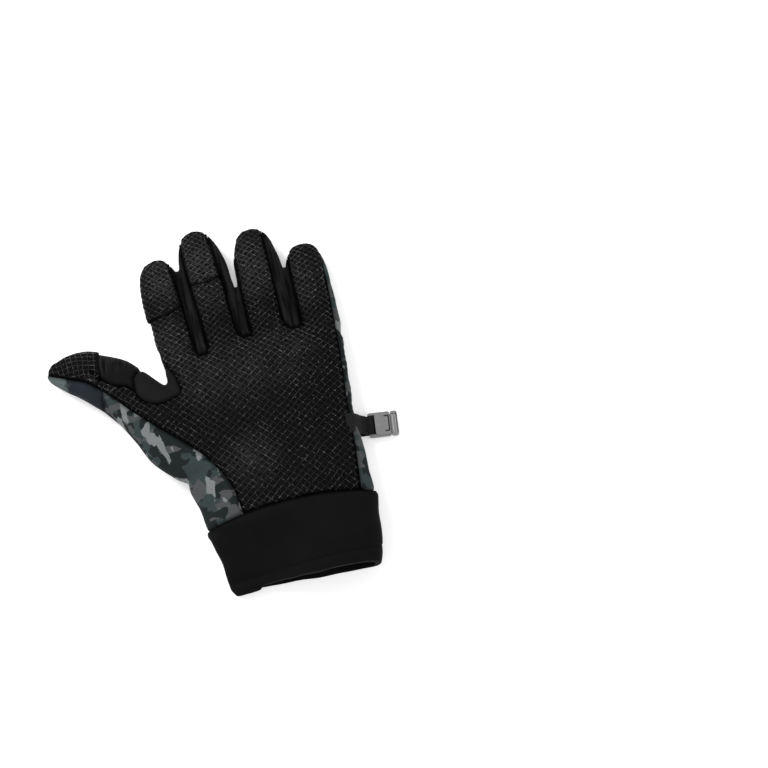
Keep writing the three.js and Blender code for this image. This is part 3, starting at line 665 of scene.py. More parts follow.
little_seam = list(through([
    limb_point(finger_limbs[3], straight_from, fingers[3]["face"][1]),
    *map(palm_point, little_side_seam),
]))
thumb_seam_low = list(through([
    *thumb_seam(thumb_seam_start, thumb_slit["seam_side"] + lap_share)[::-1],
    *map(palm_point, thumb_side_seam),
]))
palm_outline = [
    *seam_line(thumb_seam_low[-1][0], little_seam[-1][0])[1:-1],
    *little_seam[::-1],
]
for i in (3, 2, 1, 0):
    palm_outline += lobe(i)[::-1][1 if i == 3 else 0:]
    palm_outline += web(i - 1)[-2:0:-1] if i else []
palm_outline += [
    limb_point(index, patch_on_index[0][0], -past_side),
    *crotch_curve[:patch_split],
    *gusset_curve,
    *thumb_seam_low,
]
print("palm outline has", len(palm_outline), "points")

# %% [markdown]
# ## Prisms and cuts
#
# An outline grown or shrunk by half a seam gap and pulled up into a prism is a cutter. The
# manifold solver keeps the result watertight, which a printed or simulated mesh needs.


# %% Cutting tools
front_floor = side_seam_height + seam_gap / 2
back_top = side_seam_height - seam_gap / 2
high_above = palm_depth * 3
line_end = hand_breadth * 3 / 4


def tidy_outline(outline):
    """The outline as an array that runs anticlockwise, without repeated points."""
    points = np.asarray(outline, float)
    step = np.linalg.norm(points - np.roll(points, 1, axis=0), axis=1)
    points = points[step > 0.05]
    x, y = points.T
    area = (x * np.roll(y, -1) - y * np.roll(x, -1)).sum()
    return points if area > 0 else points[::-1]


def grow(outline, distance):
    points = tidy_outline(outline)
    before = points - np.roll(points, 1, axis=0)
    before = np.stack([before[:, 1], -before[:, 0]], 1)
    before /= np.linalg.norm(before, axis=1, keepdims=True)
    after = np.roll(before, -1, axis=0)
    spread = np.maximum(1 + (before * after).sum(1, keepdims=True), 0.5)
    return points + (before + after) / spread * distance


def prism(outline, low, high=high_above):
    points = tidy_outline(outline)
    n = len(points)
    solid = np.concatenate([np.c_[points, np.full(n, low)], np.c_[points, np.full(n, high)]])
    faces = [tuple(range(n))[::-1], tuple(range(n, 2 * n))]
    faces += [(i, (i + 1) % n, (i + 1) % n + n, i + n) for i in range(n)]
    return make_object("cutter", solid, faces)


def copy_of(made, name):
    twin = made.copy()
    twin.data = made.data.copy()
    twin.name = name
    bpy.context.scene.collection.objects.link(twin)
    return twin


def cut(made, cutter, how, solver="MANIFOLD"):
    modifier = made.modifiers.new("cut", "BOOLEAN")
    modifier.object = cutter
    modifier.operation = how
    modifier.solver = solver
    finished_mesh(made)
    remove(cutter)
    return made


def shade(made, angle=38):
    """Smooth shading that still breaks at edges sharper than the angle."""
    made.data.shade_smooth()
    made.data.set_sharp_from_angle(angle=math.radians(angle))
    return made


print("cut pieces lie", seam_gap, "mm apart")

# %% [markdown]
# ## Dressing the skin
#
# Turned seams pull the cloth down into a groove, the thread gathers it into small puckers, and
# between seams it puffs up a little. We move each point of the skin along its normal by the sum
# of these. Random waves are sums of a few sines with fixed seeds, so every run is the same.


# %% Waves, grooves and folds
def waves(points, length, seed, count=7):
    """A smooth random field from -1 to 1 with the given wave length in millimetres."""
    rng = np.random.default_rng(seed)
    way = rng.normal(size=(count, 3))
    way /= np.linalg.norm(way, axis=1, keepdims=True)
    pace = 2 * np.pi / (length * rng.uniform(0.75, 1.35, count))
    phase = rng.uniform(0, 2 * np.pi, count)
    return np.sin(points @ (way * pace[:, None]).T + phase).sum(1) / math.sqrt(count)


line_reach, points_at_once = 12, 4000


def nearest_on_lines(points, lines):
    """Plan distance from each point to the nearest line, and how far along it that is."""
    distance = np.full(len(points), 1e9)
    passed = np.zeros(len(points))
    for line in lines:
        line = np.asarray(line, float)
        a, b = line[:-1], line[1:]
        step = np.linalg.norm(b - a, axis=1)
        a, b, step = a[step > 0.01], b[step > 0.01], step[step > 0.01]
        before = np.r_[0, np.cumsum(step)[:-1]]
        low, high = line.min(0) - line_reach, line.max(0) + line_reach
        near = np.where(((points > low) & (points < high)).all(1))[0]
        for some in np.array_split(near, max(1, len(near) // points_at_once)):
            p = points[some, None, :]
            t = np.clip(((p - a) * (b - a)).sum(2) / step**2, 0, 1)
            gap = np.linalg.norm(p - a - (b - a) * t[..., None], axis=2)
            k = gap.argmin(1)
            i = np.arange(len(some))
            closer = gap[i, k] < distance[some]
            distance[some[closer]] = gap[i, k][closer]
            passed[some[closer]] = (before[k] + t[i, k] * step[k])[closer]
    return distance, passed


def inside(points, outline):
    x, y = points.T
    shape = tidy_outline(outline)
    within = np.zeros(len(points), bool)
    for (x1, y1), (x2, y2) in zip(shape, np.roll(shape, -1, axis=0)):
        if y1 != y2:
            crosses = (y1 > y) != (y2 > y)
            within ^= crosses & (x < (x2 - x1) * (y - y1) / (y2 - y1) + x1)
    return within


seam_groove, seam_groove_width = 1.1, 1.4
seam_pucker, seam_pucker_length, seam_pucker_reach = 0.16, 4.4, 3.6
seam_puff, seam_puff_reach = 0.45, 7.0
cloth_swell = [(34.0, 0.42, 3), (15.0, 0.17, 5), (7.5, 0.06, 8)]  # wave length, height, seed

folds = [  # across, along, heading, length, width, depth: shares, degrees and millimetres
    (-0.205, 0.905, 52, 17, 1.7, 0.9),
    (-0.165, 0.915, 50, 14, 1.6, 0.7),
    (-0.4, 0.7, 66, 20, 2.2, 0.6),
    (-0.47, 0.6, 40, 18, 2.4, 0.6),
    (-0.36, 0.46, 118, 24, 3.0, 0.5),
    (0.13, 0.97, 100, 12, 2.0, 0.5),
    (0.38, 0.93, 78, 14, 2.2, 0.5),
    (0.3, 0.1, 12, 26, 3.2, 0.5),
    (-0.1, 0.1, 172, 24, 3.0, 0.4),
]
fold_ridge, fold_ridge_out = 0.5, 1.8  # the cloth rises beside a fold
fold_bend, fold_bend_pace = 1.2, 4  # a fold isn't quite straight


def fold_press(points):
    press = np.zeros(len(points))
    for a, b, heading, length, width, depth in folds:
        turn = math.radians(heading)
        away = points[:, :2] - palm_point((a, b))
        run = away @ [math.cos(turn), math.sin(turn)]
        off = away @ [-math.sin(turn), math.cos(turn)]
        off = off + fold_bend * np.sin(run / length * fold_bend_pace)
        press += depth * np.exp(-((off / width) ** 2) - (run / length * 2) ** 4)
        beside = (np.abs(off) - width * fold_ridge_out) / width
        press -= depth * fold_ridge * np.exp(-(beside**2) - (run / length * 2) ** 4)
    return press


hood_seam = [np.array([-98.7, 41.5]), np.array([-102.5, 28.5])]
top_seams = [
    hood_seam,
    *[outline + outline[:1] for outline in fourchettes],
    list(crotch_curve),
    gusset_curve,
    thumb_seam_low,
    little_seam,
    thumb_seam(thumb_slit["seam_side"], 0.98),
    seam_line(-line_end, line_end),
]


def dress(made, lines, outlines):
    """Presses seams into a skin and gives it soft swells and folds."""
    points, normals = read_points(made), read_normals(made)
    upper = smooth(points[:, 2], front_floor - 1, front_floor + 2)
    distance, passed = nearest_on_lines(points[:, :2], lines)
    groove = -seam_groove * np.exp(-((distance / seam_groove_width) ** 2))
    gather = np.sin(passed / seam_pucker_length * 2 * np.pi + 1.5 * np.sin(passed / 11))
    groove += seam_pucker * gather * np.exp(-((distance / seam_pucker_reach) ** 2))
    puff = seam_puff * (1 - np.exp(-((distance / seam_puff_reach) ** 2))) - seam_puff / 2
    move = upper * (groove + puff - fold_press(points) * (points[:, 2] > palm_depth / 2))
    beside = np.zeros(len(points), bool)
    for outline in outlines:
        beside |= inside(points[:, :2], outline)
    level = np.abs(points[:, 2] - side_seam_height)
    move -= np.where(beside, seam_groove * np.exp(-((level / seam_groove_width) ** 2)), 0)
    for length, height, seed in cloth_swell:
        move += height * waves(points, length, seed)
    write_points(made, points + normals * move[:, None])


def press_flat(made, height):
    points = read_points(made)
    points[:, 2] = np.maximum(points[:, 2], height)
    write_points(made, points)


front_outlines = [palm_outline, *fourchettes, crotch_patch, thumb_gusset, thumb_cap_outline,
                  cap_outline(0), cap_outline(1)]
dress(outer, top_seams, front_outlines)
press_flat(outer, 0)
press_flat(inner, cloth_wall)
skin_cutter = copy_of(outer, "skin_cutter")
write_points(skin_cutter, read_points(outer) + read_normals(outer) * seam_gap)
print("dressed the skin with", len(top_seams), "seams and", len(folds), "folds")

# %% [markdown]
# ## Cutting the cloth pieces
#
# The skin less its hollow is a closed shell. Each front piece is the shell inside its own prism,
# above the side seam, and the camouflage back is all that is left.


# %% The hand's cloth pieces
def seam_side(line, far):
    return [*line, np.array([line_end, far]), np.array([-line_end, far])]


def straight_line(y):
    return [np.array([-line_end, y]), np.array([line_end, y])]


arched_line = seam_line(-line_end, line_end, 160)
below_cuff = cuff_seam - cuff_length * 2
above_cuff = cuff_seam + palm_length
shell = cut(outer, inner, "DIFFERENCE")
cut(shell, prism(grow(seam_side(arched_line, below_cuff), seam_gap / 2), back_top), "DIFFERENCE")
cut(shell, prism(seam_side(straight_line(cuff_seam + seam_gap / 2), below_cuff), -high_above),
    "DIFFERENCE")


strip_reach = 3.2


def front_piece(name, outline, lower=0.0):
    made = copy_of(shell, name)
    return shade(cut(made, prism(grow(outline, -seam_gap / 2), front_floor - lower), "INTERSECT"))


palm = front_piece("palm", palm_outline)
strips = [front_piece(f"side_strip_{fingers[i]['name']}_{fingers[i + 1]['name']}", fourchettes[i],
                      strip_reach) for i in range(3)]
patch = front_piece("crotch_patch_cloth", crotch_patch)
gusset = front_piece("thumb_gusset_cloth", thumb_gusset)
back = copy_of(shell, "back")
for outline in front_outlines:
    lower = strip_reach if any(outline is strip for strip in fourchettes) else 0
    cut(back, prism(grow(outline, seam_gap / 2), back_top - lower), "DIFFERENCE")
shade(back)
remove(shell)
for made in (palm, *strips, patch, gusset, back):
    print(made.name, len(made.data.polygons), "faces")

# %% [markdown]
# ## Slit finger ends
#
# Three ends fold back so that the angler's fingertips can come out. Each is a cap that lies a
# little proud of its finger at the slit and settles onto it towards the tip. The finger's front
# runs on under it as a lap.


# %% Caps
def resampled(limb, start, spacing=0.4):
    """The end of a limb with much closer stations."""
    past = np.linspace(0, 1, int(limb["total"] * (1 - start) / spacing))
    share = 1 - (1 - start) * (1 - past) ** finger_crowding
    keys = ("x", "y", "heading", "seam", "half_breadth", "half_depth", "middle")
    values = dict(zip(keys, limb_at(limb, share, *keys)))
    return dict(total=limb["total"], share=share, **values)


cap_edge_round = 0.8


def edge_roll(distance, radius):
    """How far a rounded edge drops, at a distance from its end."""
    inward = np.clip(radius - distance, 0, radius)
    return radius - np.sqrt(radius**2 - inward**2)


def round_edge(made, line):
    """Rolls the free edge of a cap over, along the plan line of its slit."""
    points, normals = read_points(made), read_normals(made)
    distance, _ = nearest_on_lines(points[:, :2], [line])
    write_points(made, points - normals * edge_roll(distance, cap_edge_round)[:, None])


def slit_cap(name, limb, outline, line, slit_share, lap_end):
    def growth(share):
        past = (share - slit_share) / (1 - slit_share)
        return lerp(cap_proud, seam_gap, smooth(past, 0, cap_settles))

    end = resampled(limb, slit_share - 0.08)
    under = limb_loft(end, "under", 0, lambda share: seam_gap, 96)
    dress(under, top_seams, [outline])
    cut(under, prism(lap_end, -high_above), "INTERSECT")
    made = limb_loft(end, name, 0, growth, 128)
    dress(made, top_seams, [outline])
    round_edge(made, line)
    cut(made, prism(grow(outline, -seam_gap / 2), front_floor), "INTERSECT")
    cut(made, limb_loft(limb, "hollow", cloth_wall), "DIFFERENCE")
    return shade(cut(made, under, "DIFFERENCE"))


def under_cap(i):
    limb = finger_limbs[i]
    end = max(fingers[i]["slit"]) + (cap_lap + seam_gap) / limb["total"]
    corners = [(end, -past_side), (0, -past_side), (0, past_side), (end, past_side)]
    return on_limb(limb, corners)


caps = [slit_cap(f"{fingers[i]['name']}_slit_cap", finger_limbs[i], cap_outline(i), slit_line(i),
                 min(fingers[i]["slit"]), under_cap(i)) for i in range(2)]
lap_end = lap_share + seam_gap / thumb["total"]
under_thumb_cap = on_limb(thumb, [
    (thumb_slit["inner_side"] + lap_end, past_side),
    (thumb_slit["inner_side"] + lap_end, 1),
    (thumb_lap["middle"] + lap_end, thumb_lap["middle_side"]),
    (thumb_slit["seam_side"] + lap_end, -0.5),
    (thumb_seam_start, -past_side),
    (thumb_seam_start, past_side),
])
caps.append(slit_cap("thumb_slit_cap", thumb, thumb_cap_outline, thumb_slit_line,
                     thumb_slit["seam_side"], under_thumb_cap))
print("cap faces", [len(cap.data.polygons) for cap in caps])

# %% [markdown]
# ## The cuff
#
# A band of smooth neoprene, pressed flat towards the thumb side, with a turned and stitched hem
# and an open mouth. Its edge over the palm is an arch, its edge on the back is straight.


# %% Cuff
def cuff_height(points, centre, half, half_depth, pinch):
    """Presses a ring of the cuff down towards the thumb side."""
    side = (points[:, 0] - centre) / half
    closed = cuff_pinch / (half_depth * 2 - rest_sink)
    opening = smooth(side, pinch_closed, pinch_open)
    height = np.maximum(points[:, 2], 0)
    points[:, 2] -= height * (1 - lerp(closed, 1, opening)) * pinch
    return points


def inset(section, distance):
    """A closed plan line moved inwards, with the knots at tight corners smoothed out."""
    along_it = np.roll(section, -1, axis=0) - np.roll(section, 1, axis=0)
    inward = np.stack([-along_it[:, 1], along_it[:, 0]], 1)
    inward /= np.linalg.norm(inward, axis=1, keepdims=True)
    moved = section + inward * distance
    for _ in range(int(distance * 12)):
        moved = moved / 2 + (np.roll(moved, 1, axis=0) + np.roll(moved, -1, axis=0)) / 4
    return moved


def mouth_shift(points, share, left, right):
    """How far a ring near the mouth is moved towards the hand."""
    from_left = points[:, 0] - left
    back = mouth_set_back * smooth(points[:, 2], 2, cuff_depth)
    slant = mouth_slant * (1 - from_left / (right - left))
    corner = mouth_corner * np.exp(-((from_left / mouth_corner_reach) ** 2))
    return smooth(share, mouth_starts, 1) * (back + slant - corner)


hem_start = 1 - hem_width / cuff_length
mouth_roll = 1.3


def cuff_wall_at(share):
    hem = hem_thicker * smooth(share, hem_start - 0.1, hem_start)
    return cuff_wall + hem - edge_roll((1 - share) * cuff_length, mouth_roll * 0.8)


def cuff_ring(share, row, wall=None, sides=168):
    """One ring of the cuff's outside, or of a place that lies wall millimetres inside it."""
    left, right, depth, pinch = row
    a, b = across(left), across(right)
    half, half_depth = (b - a) / 2, depth * cuff_depth / 2
    y = cuff_seam - share * cuff_length
    points = ring((a + b) / 2, y, half_depth - rest_sink, 90, half, half_depth, sides,
                  palm_power, 0.0)
    points = cuff_height(points, (a + b) / 2, half, half_depth, pinch)
    if wall is not None:
        points[:, 0], points[:, 2] = inset(points[:, [0, 2]], wall).T
    points[:, 1] += mouth_shift(points, share, a, b)
    return points


def cuff_loft(name, wall_at, past=0.0):
    shares = np.r_[np.linspace(-0.3, 0.96, 78),
                   1 - mouth_roll / cuff_length * np.linspace(1, 0, 7) ** 2]
    rows = zip(*read_rows(cuff_rows, shares))
    rings = [cuff_ring(share, row, wall_at(share)) for share, row in zip(shares, rows)]
    if past:
        rings.append(rings[-1] - [0, past, 0])
    return make_object(name, *loft(rings))


cuff = cuff_loft("neoprene_cuff", lambda share: edge_roll((1 - share) * cuff_length, mouth_roll))
cuff_hollow = cuff_loft("cuff_hollow", cuff_wall_at, hem_width)
press_flat(cuff_hollow, cuff_wall)


cuff_groove, cuff_groove_width = 0.9, 1.5
hem_groove, hem_groove_width = 0.45, 1.6
cuff_swell = [(42, 0.5, 21), (17, 0.2, 22)]  # wave length, height, seed


def dress_cuff(made):
    points, normals = read_points(made), read_normals(made)
    upper = smooth(points[:, 2], 3, 7)
    seam = points[:, 1] - seam_height_at(points[:, 0])
    move = -cuff_groove * upper * np.exp(-((seam / cuff_groove_width) ** 2))
    for length, height, seed in cuff_swell:
        move += height * waves(points, length, seed)
    mouth = (cuff_seam - points[:, 1]) / cuff_length
    stitched = (mouth - hem_start) * cuff_length / hem_groove_width
    move -= hem_groove * upper * np.exp(-(stitched**2))
    write_points(made, points + normals * move[:, None])


dress_cuff(cuff)
press_flat(cuff, 0)
cut(cuff, cuff_hollow, "DIFFERENCE")
cut(cuff, prism(grow(seam_side(arched_line, above_cuff), seam_gap / 2), side_seam_height), "DIFFERENCE")
cut(cuff, prism(seam_side(straight_line(cuff_seam - seam_gap / 2), above_cuff), -high_above,
                side_seam_height + 0.03), "DIFFERENCE")
shade(cuff)
print("cuff", len(cuff.data.polygons), "faces")

# %% [markdown]
# ## The strap and its buckle
#
# The strap leaves the palm's outer seam, drapes down the side of the hand, passes over a bar in
# the buckle and turns back under itself. The buckle is fastened: a socket with a cover plate, and
# a tongue pushed into it. Both are drawn side on, then turned a little from square to the glove.

# %% Strap sizes
strap_width = 12.0
strap_thickness = 1.2
strap_turn = -7.0
strap_run = 7.5
strap_return = 9.0
socket_length = 14.2
socket_rail = 1.5
plate_start = 4.3
plate_thickness = 1.3
socket_floor = 1.4
strap_bar = 1.5
strap_bar_height = 1.3
tongue_reach = 6.2
tongue_frame = 4.6
tongue_bars = 1.1
tongue_slot = 0.8
end_bar_height = 2.4
slide_clearance = 0.3
buckle_corner = 1.4
strap_drape = [(-0.867, 0.76), (-0.333, 0.695), (0.08, 0.56), (0.347, 0.38), (0.747, 0.22)]
edge_x, strap_y = palm_point((0.46, 0.384))
buckle_start = edge_x + strap_run
rail_inside = strap_width / 2 + slide_clearance
rail_outside = rail_inside + socket_rail
bar_low = strap_thickness + seam_gap * 2
bar_high = bar_low + strap_bar_height
plate_low = bar_high + strap_thickness + seam_gap * 2
buckle_height = plate_low + plate_thickness
bar_start = buckle_start + plate_start - strap_bar - seam_gap - strap_thickness
bar_end = bar_start + strap_bar


def turn_strap(points):
    """From a drawing with the strap along X to its place beside the glove."""
    turn = math.radians(strap_turn)
    x, y, z = np.asarray(points, float).T
    x = x - edge_x
    return np.stack([edge_x + x * math.cos(turn) - y * math.sin(turn),
                     strap_y + x * math.sin(turn) + y * math.cos(turn), z], 1)


print("strap", strap_width, "mm broad and", strap_thickness, "mm thick")


# %% Webbing
def strap_path():
    half = strap_thickness / 2
    top_run = bar_high + seam_gap + half
    turn_radius = strap_bar_height / 2 + seam_gap + half
    turn_x = bar_end - strap_bar_height / 2 + seam_gap / 2
    turn_z = (bar_low + bar_high) / 2
    drape = [(edge_x + out * strap_run, height * palm_depth) for out, height in strap_drape]
    drape += [(buckle_start - half, top_run + seam_gap), (bar_start - half, top_run)]
    angles = np.pi / 2 - np.linspace(0, np.pi, 17)
    bend = [(turn_x + turn_radius * math.cos(a), turn_z + turn_radius * math.sin(a)) for a in angles]
    return np.array([*through(drape, 0.35), *bend, (bar_start, seam_gap + half),
                     (turn_x - strap_return, seam_gap + half)])


def webbing_strip(name, path, width, thickness, corner=0.42):
    """A flat woven strip along a side-on path, with rounded edges and a map of its weave."""
    direction = np.gradient(path, axis=0)
    side = np.stack([-direction[:, 1], direction[:, 0]], 1)
    side /= np.linalg.norm(side, axis=1, keepdims=True)
    half, edge = thickness / 2, width / 2
    turn = np.linspace(0, np.pi / 2, 4)
    corner_out, corner_up = edge - corner + corner * np.cos(turn), half - corner + corner * np.sin(turn)
    flat = np.linspace(edge - corner, corner - edge, 9)[1:-1]
    upper = [*zip(corner_out, corner_up), *((y, half) for y in flat),
             *zip(-corner_out[::-1], corner_up[::-1])]
    section = np.array([*upper, *((-y, -z) for y, z in upper)])
    passed = np.r_[0, np.cumsum(np.linalg.norm(np.diff(path, axis=0), axis=1))]
    rings, sides = [], len(section)
    for (x, z), (sx, sz) in zip(path, side):
        rings.append(np.stack([x + sx * section[:, 1], section[:, 0], z + sz * section[:, 1]], 1))
    points, faces = loft(rings)
    made = make_object(name, turn_strap(points), faces)
    uv = made.data.uv_layers.new(name="weave")
    vertex = np.array([loop.vertex_index for loop in made.data.loops])
    row = np.minimum(vertex // sides, len(path) - 1)
    place = np.stack([passed[row], np.where(vertex < sides * len(path), section[vertex % sides, 0], 0)], 1)
    uv.data.foreach_set("uv", (place / 10).astype(np.float32).ravel())
    return made


strap = webbing_strip("webbing_strap", strap_path(), strap_width, strap_thickness)
cut(strap, skin_cutter, "DIFFERENCE")
shade(strap, 50)
print("strap", len(strap.data.polygons), "faces")


# %% Moulded plastic
def block(left, right, half_width, low, high):
    corners = [(left, -half_width), (right, -half_width), (right, half_width), (left, half_width)]
    return prism(corners, low, high)


def rounded(left, right, half_width, radius, steps=6):
    corners = []
    turn = np.linspace(0, np.pi / 2, steps)
    for x, y, start in ((right, half_width, 0), (left, half_width, 90),
                        (left, -half_width, 180), (right, -half_width, 270)):
        angle = turn + math.radians(start)
        cx, cy = x - math.copysign(radius, x - (left + right) / 2), y - math.copysign(radius, y)
        corners += [(cx + radius * math.cos(a), cy + radius * math.sin(a)) for a in angle]
    return corners


def plate(left, right, half_width, low, high, radius):
    return prism(rounded(left, right, half_width, radius), low, high)


def solve(made, cutter, how):
    """Joins or cuts plain blocks, whose faces may lie in one plane."""
    return cut(made, cutter, how, "EXACT")


def moulded(made, name, radius=0.22):
    """Rounds the edges of a part as a mould does, and puts it in its place."""
    made.name = name
    write_points(made, turn_strap(read_points(made)))
    bevel = made.modifiers.new("mould", "BEVEL")
    bevel.width = radius * MM
    bevel.segments = 3
    bevel.limit_method = "ANGLE"
    bevel.angle_limit = math.radians(35)
    finished_mesh(made)
    return shade(made, 30)


socket_end = buckle_start + socket_length
chamber_start = socket_end - tongue_reach - slide_clearance
rail_high = plate_low + slide_clearance
into_rails = rail_inside + socket_rail / 2
over = socket_rail
socket = plate(buckle_start, socket_end, rail_outside, 0, rail_high, buckle_corner)
solve(socket, block(buckle_start - over, socket_end + over, rail_inside, -over, rail_high + over),
      "DIFFERENCE")
for part in (
    block(bar_start, bar_end, into_rails, bar_low, bar_high),
    block(bar_end + strap_thickness * 2, socket_end, into_rails, 0, socket_floor),
    block(chamber_start - socket_rail, chamber_start, into_rails, 0, plate_low + plate_thickness / 2),
    plate(buckle_start + plate_start, socket_end, rail_outside - socket_rail / 4, plate_low,
          buckle_height, buckle_corner * 1.6),
):
    solve(socket, part, "UNION")
catch_end, catch_width, catch_reach, catch_depth = socket_end - 0.55, 0.85, 3.2, 0.6
catch_side = rail_inside - 1.0
for left, low_side, high_side in (
    (catch_end - catch_width, -catch_side, catch_side),
    (catch_end - catch_reach, catch_side - catch_width, catch_side),
    (catch_end - catch_reach, -catch_side, catch_width - catch_side),
):
    corners = [(left, low_side), (catch_end, low_side), (catch_end, high_side), (left, high_side)]
    solve(socket, prism(corners, buckle_height - catch_depth, buckle_height + over), "DIFFERENCE")
# Painted shadow: points down in the gap round the catch are noted, and the plastic is painted near black
# there.
drawn = read_points(socket)
catch_low, catch_middle = buckle_height - catch_depth - 0.05, buckle_height - catch_depth / 2
in_catch = (drawn[:, 2] < catch_middle) & (drawn[:, 2] > catch_low)
note(socket, "catch_shadow", in_catch)
socket = moulded(socket, "moulded_socket", 0.12)

tongue_start = socket_end + slide_clearance
tongue_end = tongue_start + tongue_frame
tongue = plate(tongue_start, tongue_end, rail_outside, 0, rail_high, buckle_corner)
first = tongue_start + tongue_bars
second = first + tongue_slot + tongue_bars
for part in (
    block(first, first + tongue_slot, rail_inside, -over, rail_high + over),
    block(second, tongue_end - tongue_bars, rail_inside, -over, rail_high + over),
    block(tongue_end - tongue_bars - 0.03, tongue_end + over, rail_inside, end_bar_height,
          rail_high + over),
):
    solve(tongue, part, "DIFFERENCE")
solve(tongue, block(chamber_start + slide_clearance, tongue_start + tongue_bars,
                    rail_inside - slide_clearance, socket_floor + slide_clearance,
                    plate_low - slide_clearance), "UNION")
tongue = moulded(tongue, "moulded_tongue")
print("socket", len(socket.data.polygons), "tongue", len(tongue.data.polygons), "faces")

# %% [markdown]
# ## Materials
#
# Every cloth is nearly black, so its look rests on small differences of sheen and relief. The
# shared effects are node groups that read object coordinates, which keeps them fixed to the glove.
# Object coordinates are in metres, so each group first turns them into millimetres.
#
# Cloth turns in at its seams, and its material paints shade there. The mesh notes on every point how far
# it is from a seam, and the cloth's material reads that for the painted shade. A table of soft spots says
# where painted light falls on the grip's print and ground.


# %% Distance from the seams
def mark_seams(made, lines):
    """Notes on each point how far it is from the nearest turned seam, in millimetres."""
    points = read_points(made)
    distance, _ = nearest_on_lines(points[:, :2], lines)
    below = np.maximum(front_floor - 1 - points[:, 2], 0)
    note(made, "from_seam", np.minimum(np.hypot(distance, below), 50))


for made in (palm, *strips, patch, gusset, back, *caps):
    mark_seams(made, top_seams)
mark_seams(cuff, [seam_line(-line_end, line_end)])
back_points = read_points(back)
between = np.zeros(len(back_points), bool)
for outline in fourchettes:
    between |= inside(back_points[:, :2], grow(outline, 2.2))
note(back, "between_fingers", between & (back_points[:, 2] > 0.8))
print("noted the distance from", len(top_seams), "seams")


# %% Material helpers
def node(tree, kind, links=(), **settings):
    """Adds a node, sets its properties and feeds its inputs from sockets or values."""
    made = tree.nodes.new(kind)
    for key, value in settings.items():
        setattr(made, key, value)
    for place, source in dict(links).items():
        socket = made.inputs[place]
        if isinstance(source, bpy.types.NodeSocket):
            tree.links.new(source, socket)
        else:
            socket.default_value = source
    return made


def maths(tree, operation, *values):
    return node(tree, "ShaderNodeMath", dict(enumerate(values)), operation=operation).outputs[0]


def scaled(tree, value, by, start):
    """A value times by, which starts from start."""
    return maths(tree, "ADD", start, maths(tree, "MULTIPLY", value, by))


def kept_note(tree, name):
    return node(tree, "ShaderNodeAttribute", attribute_name=name).outputs["Fac"]


def mix_colours(tree, part, low, high):
    mixed = node(tree, "ShaderNodeMix", {0: part, 6: low, 7: high}, data_type="RGBA")
    return mixed.outputs[2]


def step_up(tree, value, low, high):
    return node(tree, "ShaderNodeMapRange", {0: value, 1: low, 2: high, 3: 0.0, 4: 1.0},
                clamp=True).outputs[0]


def new_group(name, inputs, outputs):
    group = bpy.data.node_groups.new(name, "ShaderNodeTree")
    for label, kind, value in inputs:
        socket = group.interface.new_socket(label, in_out="INPUT", socket_type=kind)
        socket.default_value = value
    for label, kind in outputs:
        group.interface.new_socket(label, in_out="OUTPUT", socket_type=kind)
    return group


def millimetres(tree, stretch=(1, 1, 1)):
    place = node(tree, "ShaderNodeTexCoord").outputs["Object"]
    scale = tuple(1 / MM / part for part in stretch)
    return node(tree, "ShaderNodeVectorMath", {0: place, 1: scale}, operation="MULTIPLY").outputs[0]


def noise(tree, vector, size, detail=2.0, rough=0.5):
    return node(tree, "ShaderNodeTexNoise",
                {"Vector": vector, "Scale": 1 / size, "Detail": detail, "Roughness": rough})


print("materials work in units of", MM, "m")


# %% Knit relief
mottle_size = 14.0


def knit_group():
    """Loops of a fine knit, and the slow mottling of worn cloth."""
    group = new_group("knit_relief", [("Loop size", "NodeSocketFloat", 0.7)],
                      [("Height", "NodeSocketFloat"), ("Mottle", "NodeSocketFloat")])
    given = node(group, "NodeGroupInput").outputs
    place = millimetres(group)
    frequency = maths(group, "DIVIDE", 1.0, given["Loop size"])
    loops = node(group, "ShaderNodeTexVoronoi", {"Vector": place, "Scale": frequency,
                                                 "Randomness": 0.35}, feature="SMOOTH_F1")
    slow = noise(group, place, mottle_size, 3.0)
    height = maths(group, "SUBTRACT", 1.0, loops.outputs["Distance"])
    node(group, "NodeGroupOutput", {0: height, 1: slow.outputs["Fac"]})
    return group


knit_relief = knit_group()
print(knit_relief.name, len(knit_relief.nodes), "nodes")


def plain(name, colour, roughness, specular):
    made = bpy.data.materials.new(name)
    made.use_nodes = True
    shader = made.node_tree.nodes["Principled BSDF"]
    shader.inputs["Base Color"].default_value = (*colour, 1)
    shader.inputs["Roughness"].default_value = roughness
    shader.inputs["Specular IOR Level"].default_value = specular
    return made


def cloth(name, colour, roughness=0.9, specular=0.05, sheen=0.0, loop=0.7, relief=0.35,
          mottle=0.35, seam_shade=0.75, pattern=None):
    """A knitted cloth with loops and a wavering colour, with painted shade where its seams turn in."""
    made = plain(name, colour, roughness, specular)
    tree = made.node_tree
    shader = tree.nodes["Principled BSDF"]
    shader.inputs["Sheen Weight"].default_value = sheen
    shader.inputs["Sheen Roughness"].default_value = 0.45
    knit = node(tree, "ShaderNodeGroup", node_tree=knit_relief)
    knit.inputs["Loop size"].default_value = loop
    darker, lighter = (tuple(part * (1 + side * mottle) for part in colour) for side in (-1, 1))
    seen = mix_colours(tree, knit.outputs["Mottle"], (*darker, 1), (*lighter, 1))
    if pattern:
        seen = pattern(tree, seen)
    # Painted shade: near a turned seam the colour fades to near black and the shine drops.
    open_cloth = step_up(tree, kept_note(tree, "from_seam"), 0.3, 2.3)
    lit = scaled(tree, open_cloth, seam_shade, 1 - seam_shade)
    seen = mix_colours(tree, lit, (0.0003, 0.0003, 0.0003, 1), seen)
    tree.links.new(seen, shader.inputs["Base Color"])
    shine = maths(tree, "MULTIPLY", lit, specular)
    tree.links.new(shine, shader.inputs["Specular IOR Level"])
    bump = node(tree, "ShaderNodeBump", {"Height": knit.outputs["Height"], "Strength": relief,
                                         "Distance": 0.15 * MM})
    tree.links.new(bump.outputs[0], shader.inputs["Normal"])
    return made
